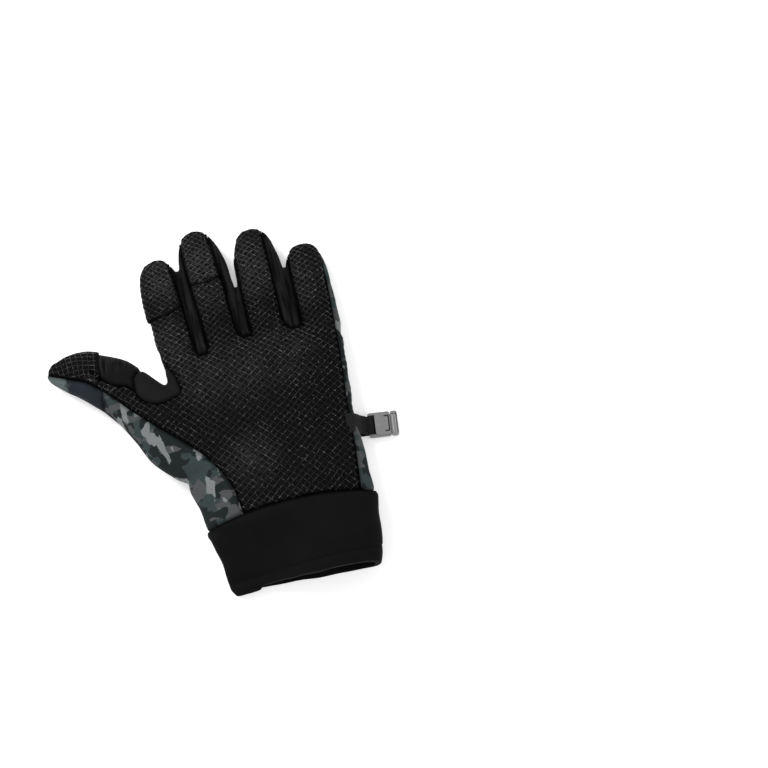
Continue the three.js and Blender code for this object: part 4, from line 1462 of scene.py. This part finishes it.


# %% Where painted light falls on the grip
# Painted light: each spot makes the grip's print and ground lighter, as if more light fell there.
painted_light_spots = [  # across and along in millimetres, reach, strength
    (-18, 107, 46, 0.55),
    (-45, 105, 30, 0.5),
    (10, 100, 34, 0.55),
    (40, 84, 30, 0.35),
    (-52, 59, 28, 0.5),
    (-35, 33, 34, 0.4),
    (-8, 28, 38, 0.38),
    (22, 36, 34, 0.34),
    (-18, -26, 30, 0.42),
    (-104, 41, 20, 0.35),
]


def painted_light_group():
    """Painted light on the grip's print and ground: on the fingers and in a band over the palm."""
    group = new_group("grip_painted_light", [("Ground", "NodeSocketFloat", 0.06)],
                      [("Painted light", "NodeSocketFloat")])
    total = node(group, "NodeGroupInput").outputs["Ground"]
    flat = node(group, "ShaderNodeVectorMath", {0: millimetres(group), 1: (1, 1, 0)},
                operation="MULTIPLY").outputs[0]
    for x, y, reach, strength in painted_light_spots:
        away = node(group, "ShaderNodeVectorMath", {0: flat, 1: (x, y, 0)}, operation="DISTANCE")
        near = node(group, "ShaderNodeMapRange", {0: away.outputs["Value"], 1: reach, 2: 0.0,
                                                  3: 0.0, 4: strength}, interpolation_type="SMOOTHSTEP")
        total = maths(group, "MAXIMUM", total, near.outputs[0])
    uneven = noise(group, millimetres(group, (1.7, 1, 1)), 17.0, 1.5).outputs["Fac"]
    painted_light = maths(group, "MULTIPLY", total, scaled(group, uneven, 1.4, 0.3))
    node(group, "NodeGroupOutput", {0: painted_light})
    return group


grip_painted_light = painted_light_group()
print(grip_painted_light.name, len(painted_light_spots), "spots")


# %% Cloths
def knit_sheen_strokes(tree, seen):
    """The ribs of the grip's ground cloth, drawn as short strokes of painted sheen where the painted light
    falls.
    """
    place = millimetres(tree, (2.6, 0.8, 2.6))
    strokes = noise(tree, place, 1.0, 1.5, 0.55).outputs["Fac"]
    painted_light = node(tree, "ShaderNodeGroup", node_tree=grip_painted_light).outputs[0]
    part = maths(tree, "MULTIPLY", step_up(tree, strokes, 0.44, 0.6), painted_light)
    return mix_colours(tree, part, seen, (0.036, 0.036, 0.036, 1))


grip_cloth = cloth("grip_cloth", (0.0022, 0.0022, 0.0022), pattern=knit_sheen_strokes)


def painted_crease_light(tree, seen):
    """Painted light and shade of long soft creases that run up the strips between the fingers."""
    place = millimetres(tree, (1.7, 26, 5))
    # Painted light and shade: streaks stand in for the soft folds of the strips, lighter on their crests.
    painted_crease_shading = step_up(tree, noise(tree, place, 1.0, 1.0).outputs["Fac"], 0.36, 0.66)
    along_hand = node(tree, "ShaderNodeSeparateXYZ", {0: millimetres(tree)}).outputs[1]
    on_strips = step_up(tree, along_hand, 48, 56)
    painted_crease_shading = maths(tree, "ADD", 0.35, maths(tree, "MULTIPLY", on_strips,
                                            maths(tree, "SUBTRACT", painted_crease_shading, 0.35)))
    return mix_colours(tree, painted_crease_shading, (0.0016, 0.0016, 0.0016, 1), (0.0135, 0.0135, 0.0138, 1))


plain_knit = cloth("plain_knit", (0.006, 0.006, 0.006), sheen=0.03, loop=0.5, seam_shade=0.85,
                   pattern=painted_crease_light)
smooth_patch = cloth("smooth_patch", (0.0075, 0.0075, 0.0075), 0.8, 0.08, loop=0.5, relief=0.2,
                     seam_shade=0.45)
neoprene = cloth("neoprene", (0.0036, 0.0036, 0.0037), 0.8, 0.06, sheen=0.008, loop=0.45,
                 relief=0.2)
print("cloths", [made.name for made in (grip_cloth, plain_knit, smooth_patch, neoprene)])

# %% [markdown]
# ## The camouflage
#
# A generic woodland-winter pattern in teal greys: angular shards of four tones, thrown over each
# other in layers, with a few dark specks. Each layer is a Voronoi texture with straight-edged
# cells. Its coordinates are pushed about by noise, so that no shard has a clean edge.


# %% Camouflage
def shard_layer(group, place, size, seed, stretch):
    """One layer of shards: a random value for each shard."""
    moved = node(group, "ShaderNodeMapping",
                 {"Vector": place, "Location": (seed * 17.3, seed * 5.1, seed * 9.7),
                  "Rotation": (0, 0, seed * 0.9), "Scale": stretch})
    cells = node(group, "ShaderNodeTexVoronoi", {"Vector": moved.outputs[0], "Scale": 1 / size,
                                                 "Randomness": 1.0}, distance="MANHATTAN")
    return node(group, "ShaderNodeSeparateColor", {0: cells.outputs["Color"]}).outputs


def camouflage_group():
    group = new_group("camouflage_shards", [
        ("Dark", "NodeSocketColor", (0.011, 0.0145, 0.015, 1)),
        ("Teal", "NodeSocketColor", (0.03, 0.043, 0.044, 1)),
        ("Middle", "NodeSocketColor", (0.062, 0.064, 0.066, 1)),
        ("Light", "NodeSocketColor", (0.165, 0.175, 0.175, 1)),
    ], [("Color", "NodeSocketColor")])
    given = node(group, "NodeGroupInput").outputs
    place = millimetres(group)
    ragged = noise(group, place, 3.2, 4.0, 0.65).outputs["Color"]
    push = node(group, "ShaderNodeVectorMath", {0: ragged, 1: (-0.5, -0.5, -0.5)}, operation="ADD")
    push = node(group, "ShaderNodeVectorMath", {0: push.outputs[0], 3: 2.0}, operation="SCALE")
    place = node(group, "ShaderNodeVectorMath", {0: place, 1: push.outputs[0]},
                 operation="ADD").outputs[0]
    large = shard_layer(group, place, 10.0, 1, (1.0, 0.6, 1.0))
    small = shard_layer(group, place, 7.5, 2, (0.6, 1.0, 1.0))
    bright = shard_layer(group, place, 5.0, 3, (1.0, 0.55, 1.0))
    specks = noise(group, millimetres(group), 0.9, 3.0, 0.7).outputs["Fac"]
    colour = given["Dark"]
    for value, threshold, tone in ((large[0], 0.45, "Teal"), (small[0], 0.72, "Middle"),
                                   (small[1], 0.8, "Dark"), (bright[2], 0.82, "Light"),
                                   (specks, 0.64, "Dark")):
        shown = maths(group, "GREATER_THAN", value, threshold)
        colour = mix_colours(group, shown, colour, given[tone])
    node(group, "NodeGroupOutput", {0: colour})
    return group


camouflage_shards = camouflage_group()


def hand_pattern(tree, _):
    """The camouflage, which turns into a plain slate panel round the end of the thumb."""
    pattern = node(tree, "ShaderNodeGroup", node_tree=camouflage_shards).outputs[0]
    start, end = hood_seam
    past = np.array([end[1] - start[1], start[0] - end[0]]) / np.linalg.norm(end - start)
    place = millimetres(tree)
    beyond = node(tree, "ShaderNodeVectorMath", {0: place, 1: (*past, 0)}, operation="DOT_PRODUCT")
    beyond = maths(tree, "SUBTRACT", beyond.outputs["Value"], float(past @ start))
    slate = mix_colours(tree, noise(tree, place, 9.0).outputs["Fac"], (0.0085, 0.011, 0.0145, 1),
                        (0.02, 0.025, 0.031, 1))
    rag = maths(tree, "MULTIPLY", noise(tree, place, 4.0, 3.0).outputs["Fac"], 9.0)
    tip = step_up(tree, maths(tree, "ADD", beyond, rag), 28.0, 31.0)
    hood = mix_colours(tree, tip, slate, (0.085, 0.105, 0.105, 1))
    seen = mix_colours(tree, step_up(tree, beyond, -0.1, 0.1), pattern, hood)
    between = kept_note(tree, "between_fingers")
    return mix_colours(tree, between, seen, (0.0035, 0.0035, 0.0035, 1))


camouflage = cloth("camouflage", (0.05, 0.05, 0.05), 0.85, 0.1, loop=0.6, relief=0.3,
                   seam_shade=0.5, pattern=hand_pattern)
print(camouflage_shards.name, len(camouflage_shards.nodes), "nodes")


# %% Webbing, plastic, silicone and thread
def webbing_cloth():
    """Flat webbing with fine ribs along it, drawn in the strap's own map."""
    made = plain("webbing", (0.0095, 0.0095, 0.0095), 0.75, 0.12)
    tree = made.node_tree
    shader = tree.nodes["Principled BSDF"]
    place = node(tree, "ShaderNodeUVMap", uv_map="weave").outputs[0]
    parts = node(tree, "ShaderNodeSeparateXYZ", {0: place}).outputs
    ribs = maths(tree, "SINE", maths(tree, "MULTIPLY", parts[1], 2 * math.pi * 10 / 1.1))
    picks = maths(tree, "SINE", maths(tree, "MULTIPLY", parts[0], 2 * math.pi * 10 / 0.55))
    weave = maths(tree, "MULTIPLY", picks, scaled(tree, ribs, 0.4, 0.6))
    bump = node(tree, "ShaderNodeBump", {"Height": weave, "Strength": 0.5, "Distance": 0.15 * MM})
    tree.links.new(bump.outputs[0], shader.inputs["Normal"])
    return made


webbing = webbing_cloth()


def moulded_plastic():
    """Grey moulded plastic, with painted shadow down in the gap round the catch."""
    made = plain("buckle_plastic", (0.17, 0.17, 0.173), 0.42, 0.4)
    tree = made.node_tree
    grain = noise(tree, millimetres(tree), 2.2, 3.0).outputs["Fac"]
    grey = mix_colours(tree, grain, (0.14, 0.14, 0.142, 1), (0.2, 0.2, 0.203, 1))
    seen = mix_colours(tree, kept_note(tree, "catch_shadow"), grey, (0.002, 0.002, 0.002, 1))
    tree.links.new(seen, tree.nodes["Principled BSDF"].inputs["Base Color"])
    return made


buckle_plastic = moulded_plastic()
thread = plain("thread", (0.0012, 0.0012, 0.0012), 0.7, 0.1)


def silicone_print():
    """Printed silicone: dull over most of the palm, with painted light in bands and small painted glints.
    """
    made = plain("silicone", (0.02, 0.02, 0.02), 0.28, 0.2)
    tree = made.node_tree
    place = millimetres(tree)
    painted_light = node(tree, "ShaderNodeGroup", node_tree=grip_painted_light).outputs[0]
    # Painted light: the strands are lighter where the painted light falls, with small painted glints on
    # top.
    strand = mix_colours(tree, painted_light, (0.003, 0.003, 0.003, 1), (0.055, 0.055, 0.055, 1))
    glint = step_up(tree, noise(tree, place, 1.5, 1.0).outputs["Fac"], 0.58, 0.68)
    glint = maths(tree, "MULTIPLY", glint, scaled(tree, painted_light, 0.6, 0.4))
    seen = mix_colours(tree, glint, strand, (0.2, 0.2, 0.2, 1))
    tree.links.new(seen, tree.nodes["Principled BSDF"].inputs["Base Color"])
    return made


silicone = silicone_print()
print("materials", [made.name for made in (webbing, buckle_plastic, thread, silicone)])

# %% [markdown]
# ## Geometry Nodes for what repeats
#
# The net and the thread repeat one small form along a path, so both are node trees. A tree takes a
# wire drawn near the cloth, drops it onto the cloth, and turns it into tubes or stitches. The
# result is kept as a plain mesh, because instances don't survive an export.


# %% Node tree helpers
def new_tree(name, inputs):
    """A Geometry Nodes tree with a geometry socket and the named inputs."""
    tree = bpy.data.node_groups.new(name, "GeometryNodeTree")
    tree.interface.new_socket("Wire", in_out="INPUT", socket_type="NodeSocketGeometry")
    for label, kind, value in inputs:
        socket = tree.interface.new_socket(label, in_out="INPUT", socket_type=kind)
        if value is not None:
            socket.default_value = value
    tree.interface.new_socket("Geometry", in_out="OUTPUT", socket_type="NodeSocketGeometry")
    return tree


def run_tree(made, tree, **values):
    """Runs a tree on an object and keeps the result as its mesh."""
    modifier = made.modifiers.new("nodes", "NODES")
    modifier.node_group = tree
    for item in tree.interface.items_tree:
        if item.in_out == "INPUT" and item.name in values:
            modifier[item.identifier] = values[item.name]
    return finished_mesh(made)


def drop_onto_cloth(tree, wire, cloth, lift):
    """Nodes that move a wire onto the nearest place on the cloth and lift it off a little."""
    cloth_mesh = node(tree, "GeometryNodeObjectInfo", {"Object": cloth}).outputs["Geometry"]
    near = node(tree, "GeometryNodeProximity", {0: cloth_mesh}, target_element="FACES")
    facing = node(tree, "GeometryNodeSampleNearestSurface",
                  {"Mesh": cloth_mesh, "Value": node(tree, "GeometryNodeInputNormal").outputs[0]},
                  data_type="FLOAT_VECTOR")
    out = node(tree, "ShaderNodeVectorMath", {0: facing.outputs[0], 3: lift}, operation="SCALE")
    place = node(tree, "ShaderNodeVectorMath", {0: near.outputs["Position"], 1: out.outputs[0]},
                 operation="ADD")
    moved = node(tree, "GeometryNodeSetPosition", {"Geometry": wire, "Position": place.outputs[0]})
    return moved.outputs[0]


def net_tree():
    tree = new_tree("silicone_net", [
        ("Cloth", "NodeSocketObject", None),
        ("Line radius", "NodeSocketFloat", 0.0003),
        ("Lift", "NodeSocketFloat", 0.0001),
        ("Silicone", "NodeSocketMaterial", None),
    ])
    given = node(tree, "NodeGroupInput").outputs
    wire = drop_onto_cloth(tree, given["Wire"], given["Cloth"], given["Lift"])
    curve = node(tree, "GeometryNodeMeshToCurve", {0: wire}).outputs[0]
    knot = node(tree, "GeometryNodeInputNamedAttribute", {"Name": "knot"}, data_type="FLOAT")
    curve = node(tree, "GeometryNodeSetCurveRadius", {0: curve, "Radius": knot.outputs[0]})
    profile = node(tree, "GeometryNodeCurvePrimitiveCircle",
                   {"Resolution": 4, "Radius": given["Line radius"]})
    tube = node(tree, "GeometryNodeCurveToMesh", {0: curve.outputs[0], 1: profile.outputs[0],
                                                  "Fill Caps": True})
    tube = node(tree, "GeometryNodeRealizeInstances", {0: tube.outputs[0]})
    named = node(tree, "GeometryNodeSetMaterial", {0: tube.outputs[0], "Material": given["Silicone"]})
    node(tree, "NodeGroupOutput", {0: named.outputs[0]})
    return tree


def stitch_tree():
    tree = new_tree("stitches", [
        ("Cloth", "NodeSocketObject", None),
        ("Pitch", "NodeSocketFloat", 0.003),
        ("Stitch length", "NodeSocketFloat", 0.0024),
        ("Thread radius", "NodeSocketFloat", 0.0002),
        ("Lift", "NodeSocketFloat", 0.0001),
        ("Thread", "NodeSocketMaterial", None),
    ])
    given = node(tree, "NodeGroupInput").outputs
    path = node(tree, "GeometryNodeMeshToCurve", {0: given["Wire"]}).outputs[0]
    path = node(tree, "GeometryNodeResampleCurve", {"Curve": path, "Length": given["Pitch"]},
                mode="LENGTH").outputs[0]
    tangent = node(tree, "GeometryNodeInputTangent").outputs[0]
    places = node(tree, "GeometryNodeCurveToPoints", {"Curve": path}, mode="EVALUATED")
    points = drop_onto_cloth(tree, places.outputs["Points"], given["Cloth"], given["Lift"])
    half = node(tree, "ShaderNodeMath", {0: given["Stitch length"], 1: 0.5}, operation="MULTIPLY")
    size = node(tree, "ShaderNodeCombineXYZ", {"X": given["Thread radius"],
                                               "Y": given["Thread radius"], "Z": half.outputs[0]})
    bead = node(tree, "GeometryNodeMeshUVSphere", {"Segments": 6, "Rings": 5, "Radius": 1.0})
    placed = node(tree, "GeometryNodeInstanceOnPoints",
                  {"Points": points, "Instance": bead.outputs[0],
                   "Rotation": turned_along(tree, places.outputs["Tangent"]),
                   "Scale": size.outputs[0]})
    real = node(tree, "GeometryNodeRealizeInstances", {0: placed.outputs[0]})
    named = node(tree, "GeometryNodeSetMaterial", {0: real.outputs[0], "Material": given["Thread"]})
    node(tree, "NodeGroupOutput", {0: named.outputs[0]})
    return tree


def turned_along(tree, tangent):
    turn = node(tree, "FunctionNodeAlignRotationToVector", {"Vector": tangent}, axis="Z")
    return turn.outputs[0]


# %% [markdown]
# ## The silicone net
#
# The grip is printed as rows of soft zigzags that touch at their corners, which makes diamonds
# with a thick knot at each corner. The pattern is drawn flat. On a finger it is laid round the
# section by arc length, so the cells keep their size where the cloth turns down.

# %% Flat pattern of the net
net_wave = 5.2
net_rise = 2.3
net_lean = -4.5
net_radius = 0.24
net_knot = 0.7
net_margin = 0.45
squeeze_from, squeeze = along(0.86), 0.84
net_drift = 0.25
shortest_run = 5


def zigzag(turns, sharpness=0.97):
    """A triangle wave from -1 to 1 with soft corners."""
    return np.arcsin(sharpness * np.sin(turns * 2 * np.pi)) / math.asin(sharpness)


def net_rows(low, high, lean, wave=net_wave, rise=net_rise):
    """Rows of pattern points over a box, turned by lean, each with how near to a knot it is."""
    middle, reach = (np.add(low, high)) / 2, np.hypot(*np.subtract(high, low)) / 2
    turn = math.radians(lean)
    count = int(reach / rise) + 1
    for k in range(-count, count + 1):
        s = np.arange(-reach, reach, wave / 8)
        bend = zigzag(s / wave) * (1 if k % 2 else -1)
        t = k * rise + bend * rise / 2
        x = middle[0] + s * math.cos(turn) - t * math.sin(turn)
        y = middle[1] + s * math.sin(turn) + t * math.cos(turn)
        place = np.stack([x, y, np.zeros(len(x))], 1)
        drift = np.stack([waves(place, 13, 31), waves(place, 13, 32)], 1) * net_drift
        rising = np.gradient(t) > 0
        on_fingers = smooth(y, squeeze_from, squeeze_from + 15)
        heavy = np.where(rising, lerp(1.15, 0.85, on_fingers), lerp(0.8, 1.1, on_fingers))
        yield place[:, :2] + drift, heavy + net_knot * np.abs(bend) ** 5


def squeezed(points):
    """The print is flatter on the fingers, where the cloth is pulled across them."""
    y = points[:, 1]
    return np.stack([points[:, 0], np.minimum(y, squeeze_from + (y - squeeze_from) * squeeze)], 1)


def arc_table(ratio, power=limb_power, steps=200):
    """How far round a limb's section a place is, against how far out it is, for half breadth 1."""
    angle = np.linspace(np.pi / 2, 0, steps)
    out, up = np.cos(angle) ** (2 / power), ratio * np.sin(angle) ** (2 / power)
    return np.r_[0, np.cumsum(np.hypot(np.diff(out), np.diff(up)))], out


def section_height(middle, deep, out):
    """How high a limb's section is, at a share of its half breadth out from the middle."""
    return middle + deep * (1 - np.minimum(out, 0.999) ** limb_power) ** (1 / limb_power)


def on_finger(limb, points):
    """Pattern points laid round a finger: their new plan place and height."""
    x, y = points.T
    centre, half, deep, middle = (np.interp(y, limb["y"], limb[key])
                                  for key in ("x", "half_breadth", "half_depth", "middle"))
    half = np.maximum(half, 0.5)
    arc, out = arc_table(float(np.median(deep / half)))
    side = np.interp(np.abs(x - centre) / half, arc, out)
    off = np.abs(x - centre) / half > arc[-1]
    up = section_height(middle, deep, side)
    placed = np.stack([centre + np.sign(x - centre) * half * side, y, up], 1)
    placed[off] = np.nan
    return placed


def top_height(surface, x, y, fallback):
    hit = surface.ray_cast(Vector((x * MM, y * MM, 0.1)), Vector((0, 0, -1)))
    return hit[0].z / MM if hit[0] else fallback


def lay_on_hand(points, surface):
    """Pattern points laid on the palm and round the fingers, which run into each other."""
    placed = np.c_[points, [top_height(surface, x, y, palm_depth) for x, y in points]]
    x, y = points.T
    centre, half = (np.array([np.interp(y, limb["y"], limb[key]) for limb in finger_limbs])
                    for key in ("x", "half_breadth"))
    nearest = (np.abs(x - centre) / half).argmin(0)
    for i, (limb, beside) in enumerate(zip(finger_limbs, (crotch_shares[0], *crotch_shares))):
        part = smooth(y, along(beside), along(beside) + 10)
        mine = (part > 0) & (nearest == i)
        if mine.any():
            placed[mine] = lerp(placed[mine], on_finger(limb, points[mine]), part[mine, None])
    return placed


def grown(limb, by):
    return {**limb, "half_breadth": limb["half_breadth"] + by, "half_depth": limb["half_depth"] + by}


def wire_of(name, runs):
    """A wire of many runs of points, each with its knots."""
    points = np.concatenate([run for run, _ in runs])
    made = make_object(name, points, [], run_edges([run for run, _ in runs]))
    note(made, "knot", np.concatenate([knots for _, knots in runs]))
    return made


def run_edges(runs):
    edges, start = [], 0
    for run in runs:
        edges += [(i, i + 1) for i in range(start, start + len(run) - 1)]
        start += len(run)
    return edges


def net_on(name, cloth_piece, rows, lay, outline, without=(), radius=net_radius):
    """The net over one piece of cloth, kept within an outline and out of others."""
    surface = BVHTree.FromObject(cloth_piece, bpy.context.evaluated_depsgraph_get())
    kept_in = grow(outline, -net_margin)
    runs = []
    for flat, knots in rows:
        placed = lay(flat, surface)
        good = ~np.isnan(placed[:, 0]) & inside(np.nan_to_num(placed[:, :2]), kept_in)
        good &= np.nan_to_num(placed[:, 2]) > front_floor + net_margin
        for other in without:
            good &= ~inside(np.nan_to_num(placed[:, :2]), other)
        ends = np.flatnonzero(np.diff(np.r_[0, good, 0]))
        runs += [(placed[a:b], knots[a:b]) for a, b in zip(ends[::2], ends[1::2])
                 if b - a > shortest_run]
    wire = wire_of(name, runs)
    run_tree(wire, silicone_tree, **{"Cloth": cloth_piece, "Line radius": radius * MM,
                                     "Lift": radius * MM * 0.3, "Silicone": silicone})
    wire.data.shade_smooth()
    return wire


print("net strands", net_radius, "mm thick to each side")


# %% Nets
silicone_tree = net_tree()
cap_clear = cap_proud + 0.4  # above a cap, so that a drop finds its outside
hand_rows = [(squeezed(row), knots) for row, knots in net_rows((-105, -65), (60, 150), net_lean)]
cap_lines = [cap_outline(0), cap_outline(1), thumb_cap_outline]
nets = [net_on("net_palm", palm, hand_rows, lay_on_hand, palm_outline, cap_lines)]
for i in range(2):
    limb = grown(finger_limbs[i], cap_clear)
    nets.append(net_on(f"net_cap_{fingers[i]['name']}", caps[i], hand_rows,
                       lambda points, _: on_finger(limb, points), cap_outline(i)))


def lay_on_thumb(points, surface):
    """Pattern points drawn with the thumb's middle straight, laid round the thumb."""
    side, share = points[:, 0], points[:, 1] / thumb["total"]
    x, y, heading, half, deep, middle = limb_at(thumb, share, "x", "y", "heading", "half_breadth",
                                                "half_depth", "middle")
    half, deep = np.maximum(half, 0.5) + cap_clear, deep + cap_clear
    arc, out = arc_table(0.62)
    reach = np.interp(np.abs(side) / half, arc, out)
    turn = np.radians(heading)
    off = np.sign(side) * half * reach
    up = section_height(middle, deep, reach)
    placed = np.stack([x + np.sin(turn) * off, y - np.cos(turn) * off, up], 1)
    placed[(np.abs(side) / half > arc[-1]) | (share > 1) | (share < 0.5)] = np.nan
    return placed


thumb_rows_of_net = net_rows((-25, thumb["total"] * 0.6), (25, thumb["total"]), 62)
nets.append(net_on("net_cap_thumb", caps[2], thumb_rows_of_net, lay_on_thumb, thumb_cap_outline))
print("net faces", [len(net.data.polygons) for net in nets])

# %% [markdown]
# ## Stitches
#
# The hem of the cuff is held by one row of dark thread, which sinks a little into the neoprene.


# %% Stitches
def stitched(name, path, cloth_piece, pitch=3.0, length=2.5, radius=0.2):
    wire = make_object(name, path, [], run_edges([path]))
    return run_tree(wire, thread_tree, **{"Cloth": cloth_piece, "Pitch": pitch * MM,
                                          "Stitch length": length * MM, "Thread radius": radius * MM,
                                          "Lift": radius * MM * 0.35, "Thread": thread})


thread_tree = stitch_tree()
hem_share = hem_start + 0.02
hem_ring = cuff_ring(hem_share, [column[0] for column in read_rows(cuff_rows, [hem_share])])
lowest = int(hem_ring[:, 2].argmin())
hem_ring = np.roll(hem_ring, -lowest, axis=0)
stitches = [stitched("hem_stitches", hem_ring[hem_ring[:, 2] > 0.6], cuff)]
print("stitch faces", [len(row.data.polygons) for row in stitches])

# %% [markdown]
# ## Putting the glove together
#
# Each visible piece names the solid that it stands for and the slot of its material; all of them
# ride on the model's first body.

# %% Assembly
assembly = [
    (palm, "palm_panel", "grip_print", grip_cloth),
    (back, "back_panel", "camouflage", camouflage),
    (strips[0], "fourchette_index_middle", "plain_knit", plain_knit),
    (strips[1], "fourchette_middle_ring", "plain_knit", plain_knit),
    (strips[2], "fourchette_ring_little", "plain_knit", plain_knit),
    (patch, "crotch_patch", "smooth_patch", smooth_patch),
    (gusset, "thumb_gusset", "plain_knit", plain_knit),
    (caps[0], "index_cap", "grip_print", grip_cloth),
    (caps[1], "middle_cap", "grip_print", grip_cloth),
    (caps[2], "thumb_cap", "grip_print", grip_cloth),
    (cuff, "cuff", "neoprene", neoprene),
    (strap, "strap", "webbing", webbing),
    (socket, "buckle_socket", "buckle_plastic", buckle_plastic),
    (tongue, "buckle_tongue", "buckle_plastic", buckle_plastic),
]
for made, solid, slot, material in assembly:
    made.data.materials.clear()
    made.data.materials.append(material)
    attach(made, body)
    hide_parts(solid)
for net in nets:
    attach(net, body)
for row in stitches:
    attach(row, body)
print("replaced", len(assembly), "solids")

# %% [markdown]
# ## Floor, light and camera
#
# The photo is a catalogue picture: white all round, with broad soft light. A floor that glows a
# little lies just under the glove, the sky is white, and two broad lamps model the folds.

# %% Floor, light and camera
floor_size, floor_drop = 4.0, 0.0004
floor_glow, sky_light = 0.35, 0.75
bpy.ops.mesh.primitive_plane_add(size=floor_size, location=(0, 0, -floor_drop))
floor = bpy.context.object
floor.name = "floor"
floor_white = plain("floor_white", (0.93, 0.93, 0.93), 0.9, 0.1)
floor_shader = floor_white.node_tree.nodes["Principled BSDF"]
floor_shader.inputs["Emission Color"].default_value = (1, 1, 1, 1)
floor_shader.inputs["Emission Strength"].default_value = floor_glow
floor.data.materials.append(floor_white)

world = bpy.data.worlds.new("white_room")
bpy.context.scene.world = world
world.use_nodes = True
world.node_tree.nodes["Background"].inputs["Color"].default_value = (1, 1, 1, 1)
world.node_tree.nodes["Background"].inputs["Strength"].default_value = sky_light


def lamp(name, place, aim, size, power):
    data = bpy.data.lights.new(name, "AREA")
    data.shape = "DISK"
    data.size = size
    data.energy = power
    made = in_scene(name, data)
    made.location = place
    made.rotation_euler = (Vector(aim) - Vector(place)).to_track_quat("-Z", "Y").to_euler()
    return made


lamp("key_lamp", (-0.75, 1.0, 1.25), (0, 0, 0), size=0.7, power=20)
lamp("fill_lamp", (0.9, -0.6, 1.3), (0, 0, 0), size=1.2, power=5)

view_tilt = math.radians(13)
view_roll = math.radians(14)
view_distance = 0.95
view_target = Vector((0.076, 0.00566, 0))
photo_lens, photo_sensor = 68.51, 36
photo_up = Vector((math.sin(view_roll), math.cos(view_roll), 0))
camera_data = bpy.data.cameras.new("photo_camera")
camera = in_scene("photo_camera", camera_data)
away = Vector((0, 0, math.cos(view_tilt))) - photo_up * math.sin(view_tilt)
camera.location = view_target + away * view_distance
camera_data.lens = photo_lens
camera_data.sensor_width = photo_sensor
camera_data.dof.use_dof = False
forward = -away.normalized()
right = forward.cross(photo_up).normalized()
up = right.cross(forward).normalized()
camera.rotation_euler = Matrix((right, up, -forward)).transposed().to_euler()
bpy.context.scene.camera = camera
bpy.context.scene.view_settings.view_transform = "Standard"
print("camera", view_distance, "m from the palm, lens", round(camera_data.lens), "mm")
